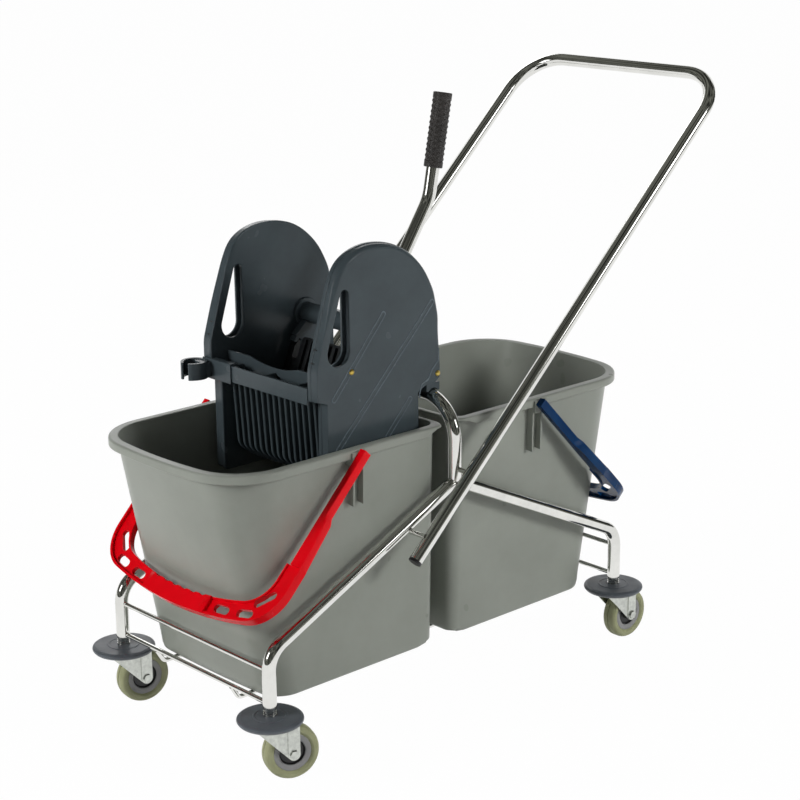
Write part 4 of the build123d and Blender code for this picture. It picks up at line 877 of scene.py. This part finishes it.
# profiles: radius, height (for the wheel's parts the distance from its middle plane) and bend
bumperProfile = roundedLoop([(6.2, 88, 0), (44, 88, 2.2), (47, 91.6, 3), (46.4, 94.9, 2.6), (41.5, 96.6, 8),
                             (24.5, 97.2, 0.5), (24, 97.8, 0.5), (21.5, 97.9, 0.5), (20.8, 97.4, 0.5),
                             (12, 97.9, 2), (11, 98, 0.3), (6.2, 98, 0)], 6, 4)
ferruleProfile = np.array([(6.2, 97.9), (9.4, 97.9), (9.4, 99.6), (8.5, 99.9), (8.5, 101), (9.3, 101.3),
                           (9.3, 102.4), (8.5, 102.7), (8.5, 103.9), (9.3, 104.2), (9.3, 105.4), (8.6, 105.7),
                           (8.6, 106.9), (9.4, 107.2), (9.4, 110), (6.2, 110)])
tyreProfile = roundedLoop([(27.5, -9.5, 1), (31, -12, 3), (37.5, -12, 5), (40, -6, 10), (40, -0.9, 0.3),
                           (38.8, -0.7, 0.3), (38.8, 0.7, 0.3), (40, 0.9, 0.3), (40, 6, 10), (37.5, 12, 5),
                           (31, 12, 3), (27.5, 9.5, 1)], 5, 5)
centreProfile = roundedLoop([(4.3, -13, 0.4), (7.5, -13, 0.8), (8.5, -4, 1), (17.5, -3.4, 1), (19.5, -9, 1.2),
                             (27.6, -9.6, 0.8), (27.6, 9.6, 0.8), (19.5, 9, 1.2), (17.5, 3.4, 1), (8.5, 4, 1),
                             (7.5, 13, 0.8), (4.3, 13, 0.4)], 4, 5)
# black discs that fill the wheel centre's recesses: painted shade for the dark hollow between hub and rim
recessShadeProfile = roundedLoop([(8, 4.6, 0.3), (18, 4, 0.3), (18.9, 8.2, 0.3), (18.4, 8.4, 0.3), (17.2, 5.4, 0.8),
                            (9.6, 5.8, 0.5), (9, 11, 0.5), (8, 11, 0.3)], 3, 4)
stripLoop = roundedLoop([(19.2, 83.5, 0.5), (36.8, 83.5, 0.5), (36.8, 31.2, 8.7), (19.2, 31.2, 8.7)], 9)
for cornerName, degreesTurn in castor["turns"].items():
    endX = castor["x"][0 if "front" in cornerName else 1]
    stand = np.array([endX, castor["y"] * (1 if "right" in cornerName else -1), 0])
    turn = math.radians(degreesTurn)
    forward = np.array([math.cos(turn), math.sin(turn), 0])
    axleWay = np.array([-math.sin(turn), math.cos(turn), 0])
    standPlace = dict(origin=stand, axes=np.eye(3))
    axlePlace = dict(origin=stand + forward * castor["trail"] + (0, 0, castor["axleZ"]),
                     axes=np.column_stack([forward, (0, 0, 1), axleWay]))
    wheelBody = "wheel_" + cornerName
    mesh = turnedMesh("bumper_%s_disc" % cornerName, bumperProfile, standPlace, 96)
    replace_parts(linkPiece(mesh, "bumper_plastic", "frame"), "bumper_" + cornerName)
    mesh = turnedMesh("ferrule_" + cornerName, ferruleProfile, standPlace, 48)
    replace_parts(linkPiece(mesh, "chromed_steel", "frame"), "leg_sockets")
    mesh = turnedMesh("tyre_%s_ring" % cornerName, tyreProfile, axlePlace, 96)
    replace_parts(linkPiece(mesh, "grey_tyre", wheelBody), "tyre_" + cornerName)
    mesh = turnedMesh("wheel_centre_%s_disc" % cornerName, centreProfile, axlePlace, 72)
    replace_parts(linkPiece(mesh, "wheel_plastic", wheelBody), "wheel_centre_" + cornerName)
    for side, sideName in ((-1, "left"), (1, "right")):
        # a black disc in the wheel centre's recess on this side, painted shade for the hollow
        mesh = turnedMesh("hub_recess_shade_%s_%s" % (cornerName, sideName), recessShadeProfile * (1, side), axlePlace)
        linkPiece(mesh, "black_plastic", wheelBody)
        faces = side * np.array(castor["stripY"])[:, None]
        strip = np.stack(np.broadcast_arrays(stripLoop[:, 0], faces, stripLoop[:, 1]), axis=-1)
        placed = strip[..., :1] * forward + strip[..., 1:2] * axleWay + strip[..., 2:] * (0, 0, 1) + stand
        mesh = closedMesh("fork_strip_%s_%s" % (cornerName, sideName), placed)
        softEdges(linkPiece(mesh, "zinc_plated_steel", "castor_" + cornerName), 0.7, 3)
print("castors made")


# Moulded and pressed pieces that keep their CAD form, with rounded edges

edgeWidths = {"front_bail": 1.9, "rear_bail": 1.9, "front_jaw": 0.6, "press_plate": 0.4, "cross_shaft": 0.5}
edgeWidths.update({"fork_" + cornerName: 0.5 for cornerName in castor["turns"]})
for nodeName, widthMm in edgeWidths.items():
    softEdgeCopy(nodeName, widthMm, nodeName.endswith("bail"))
print("rounded pieces:", len(edgeWidths))

print("pieces finished")
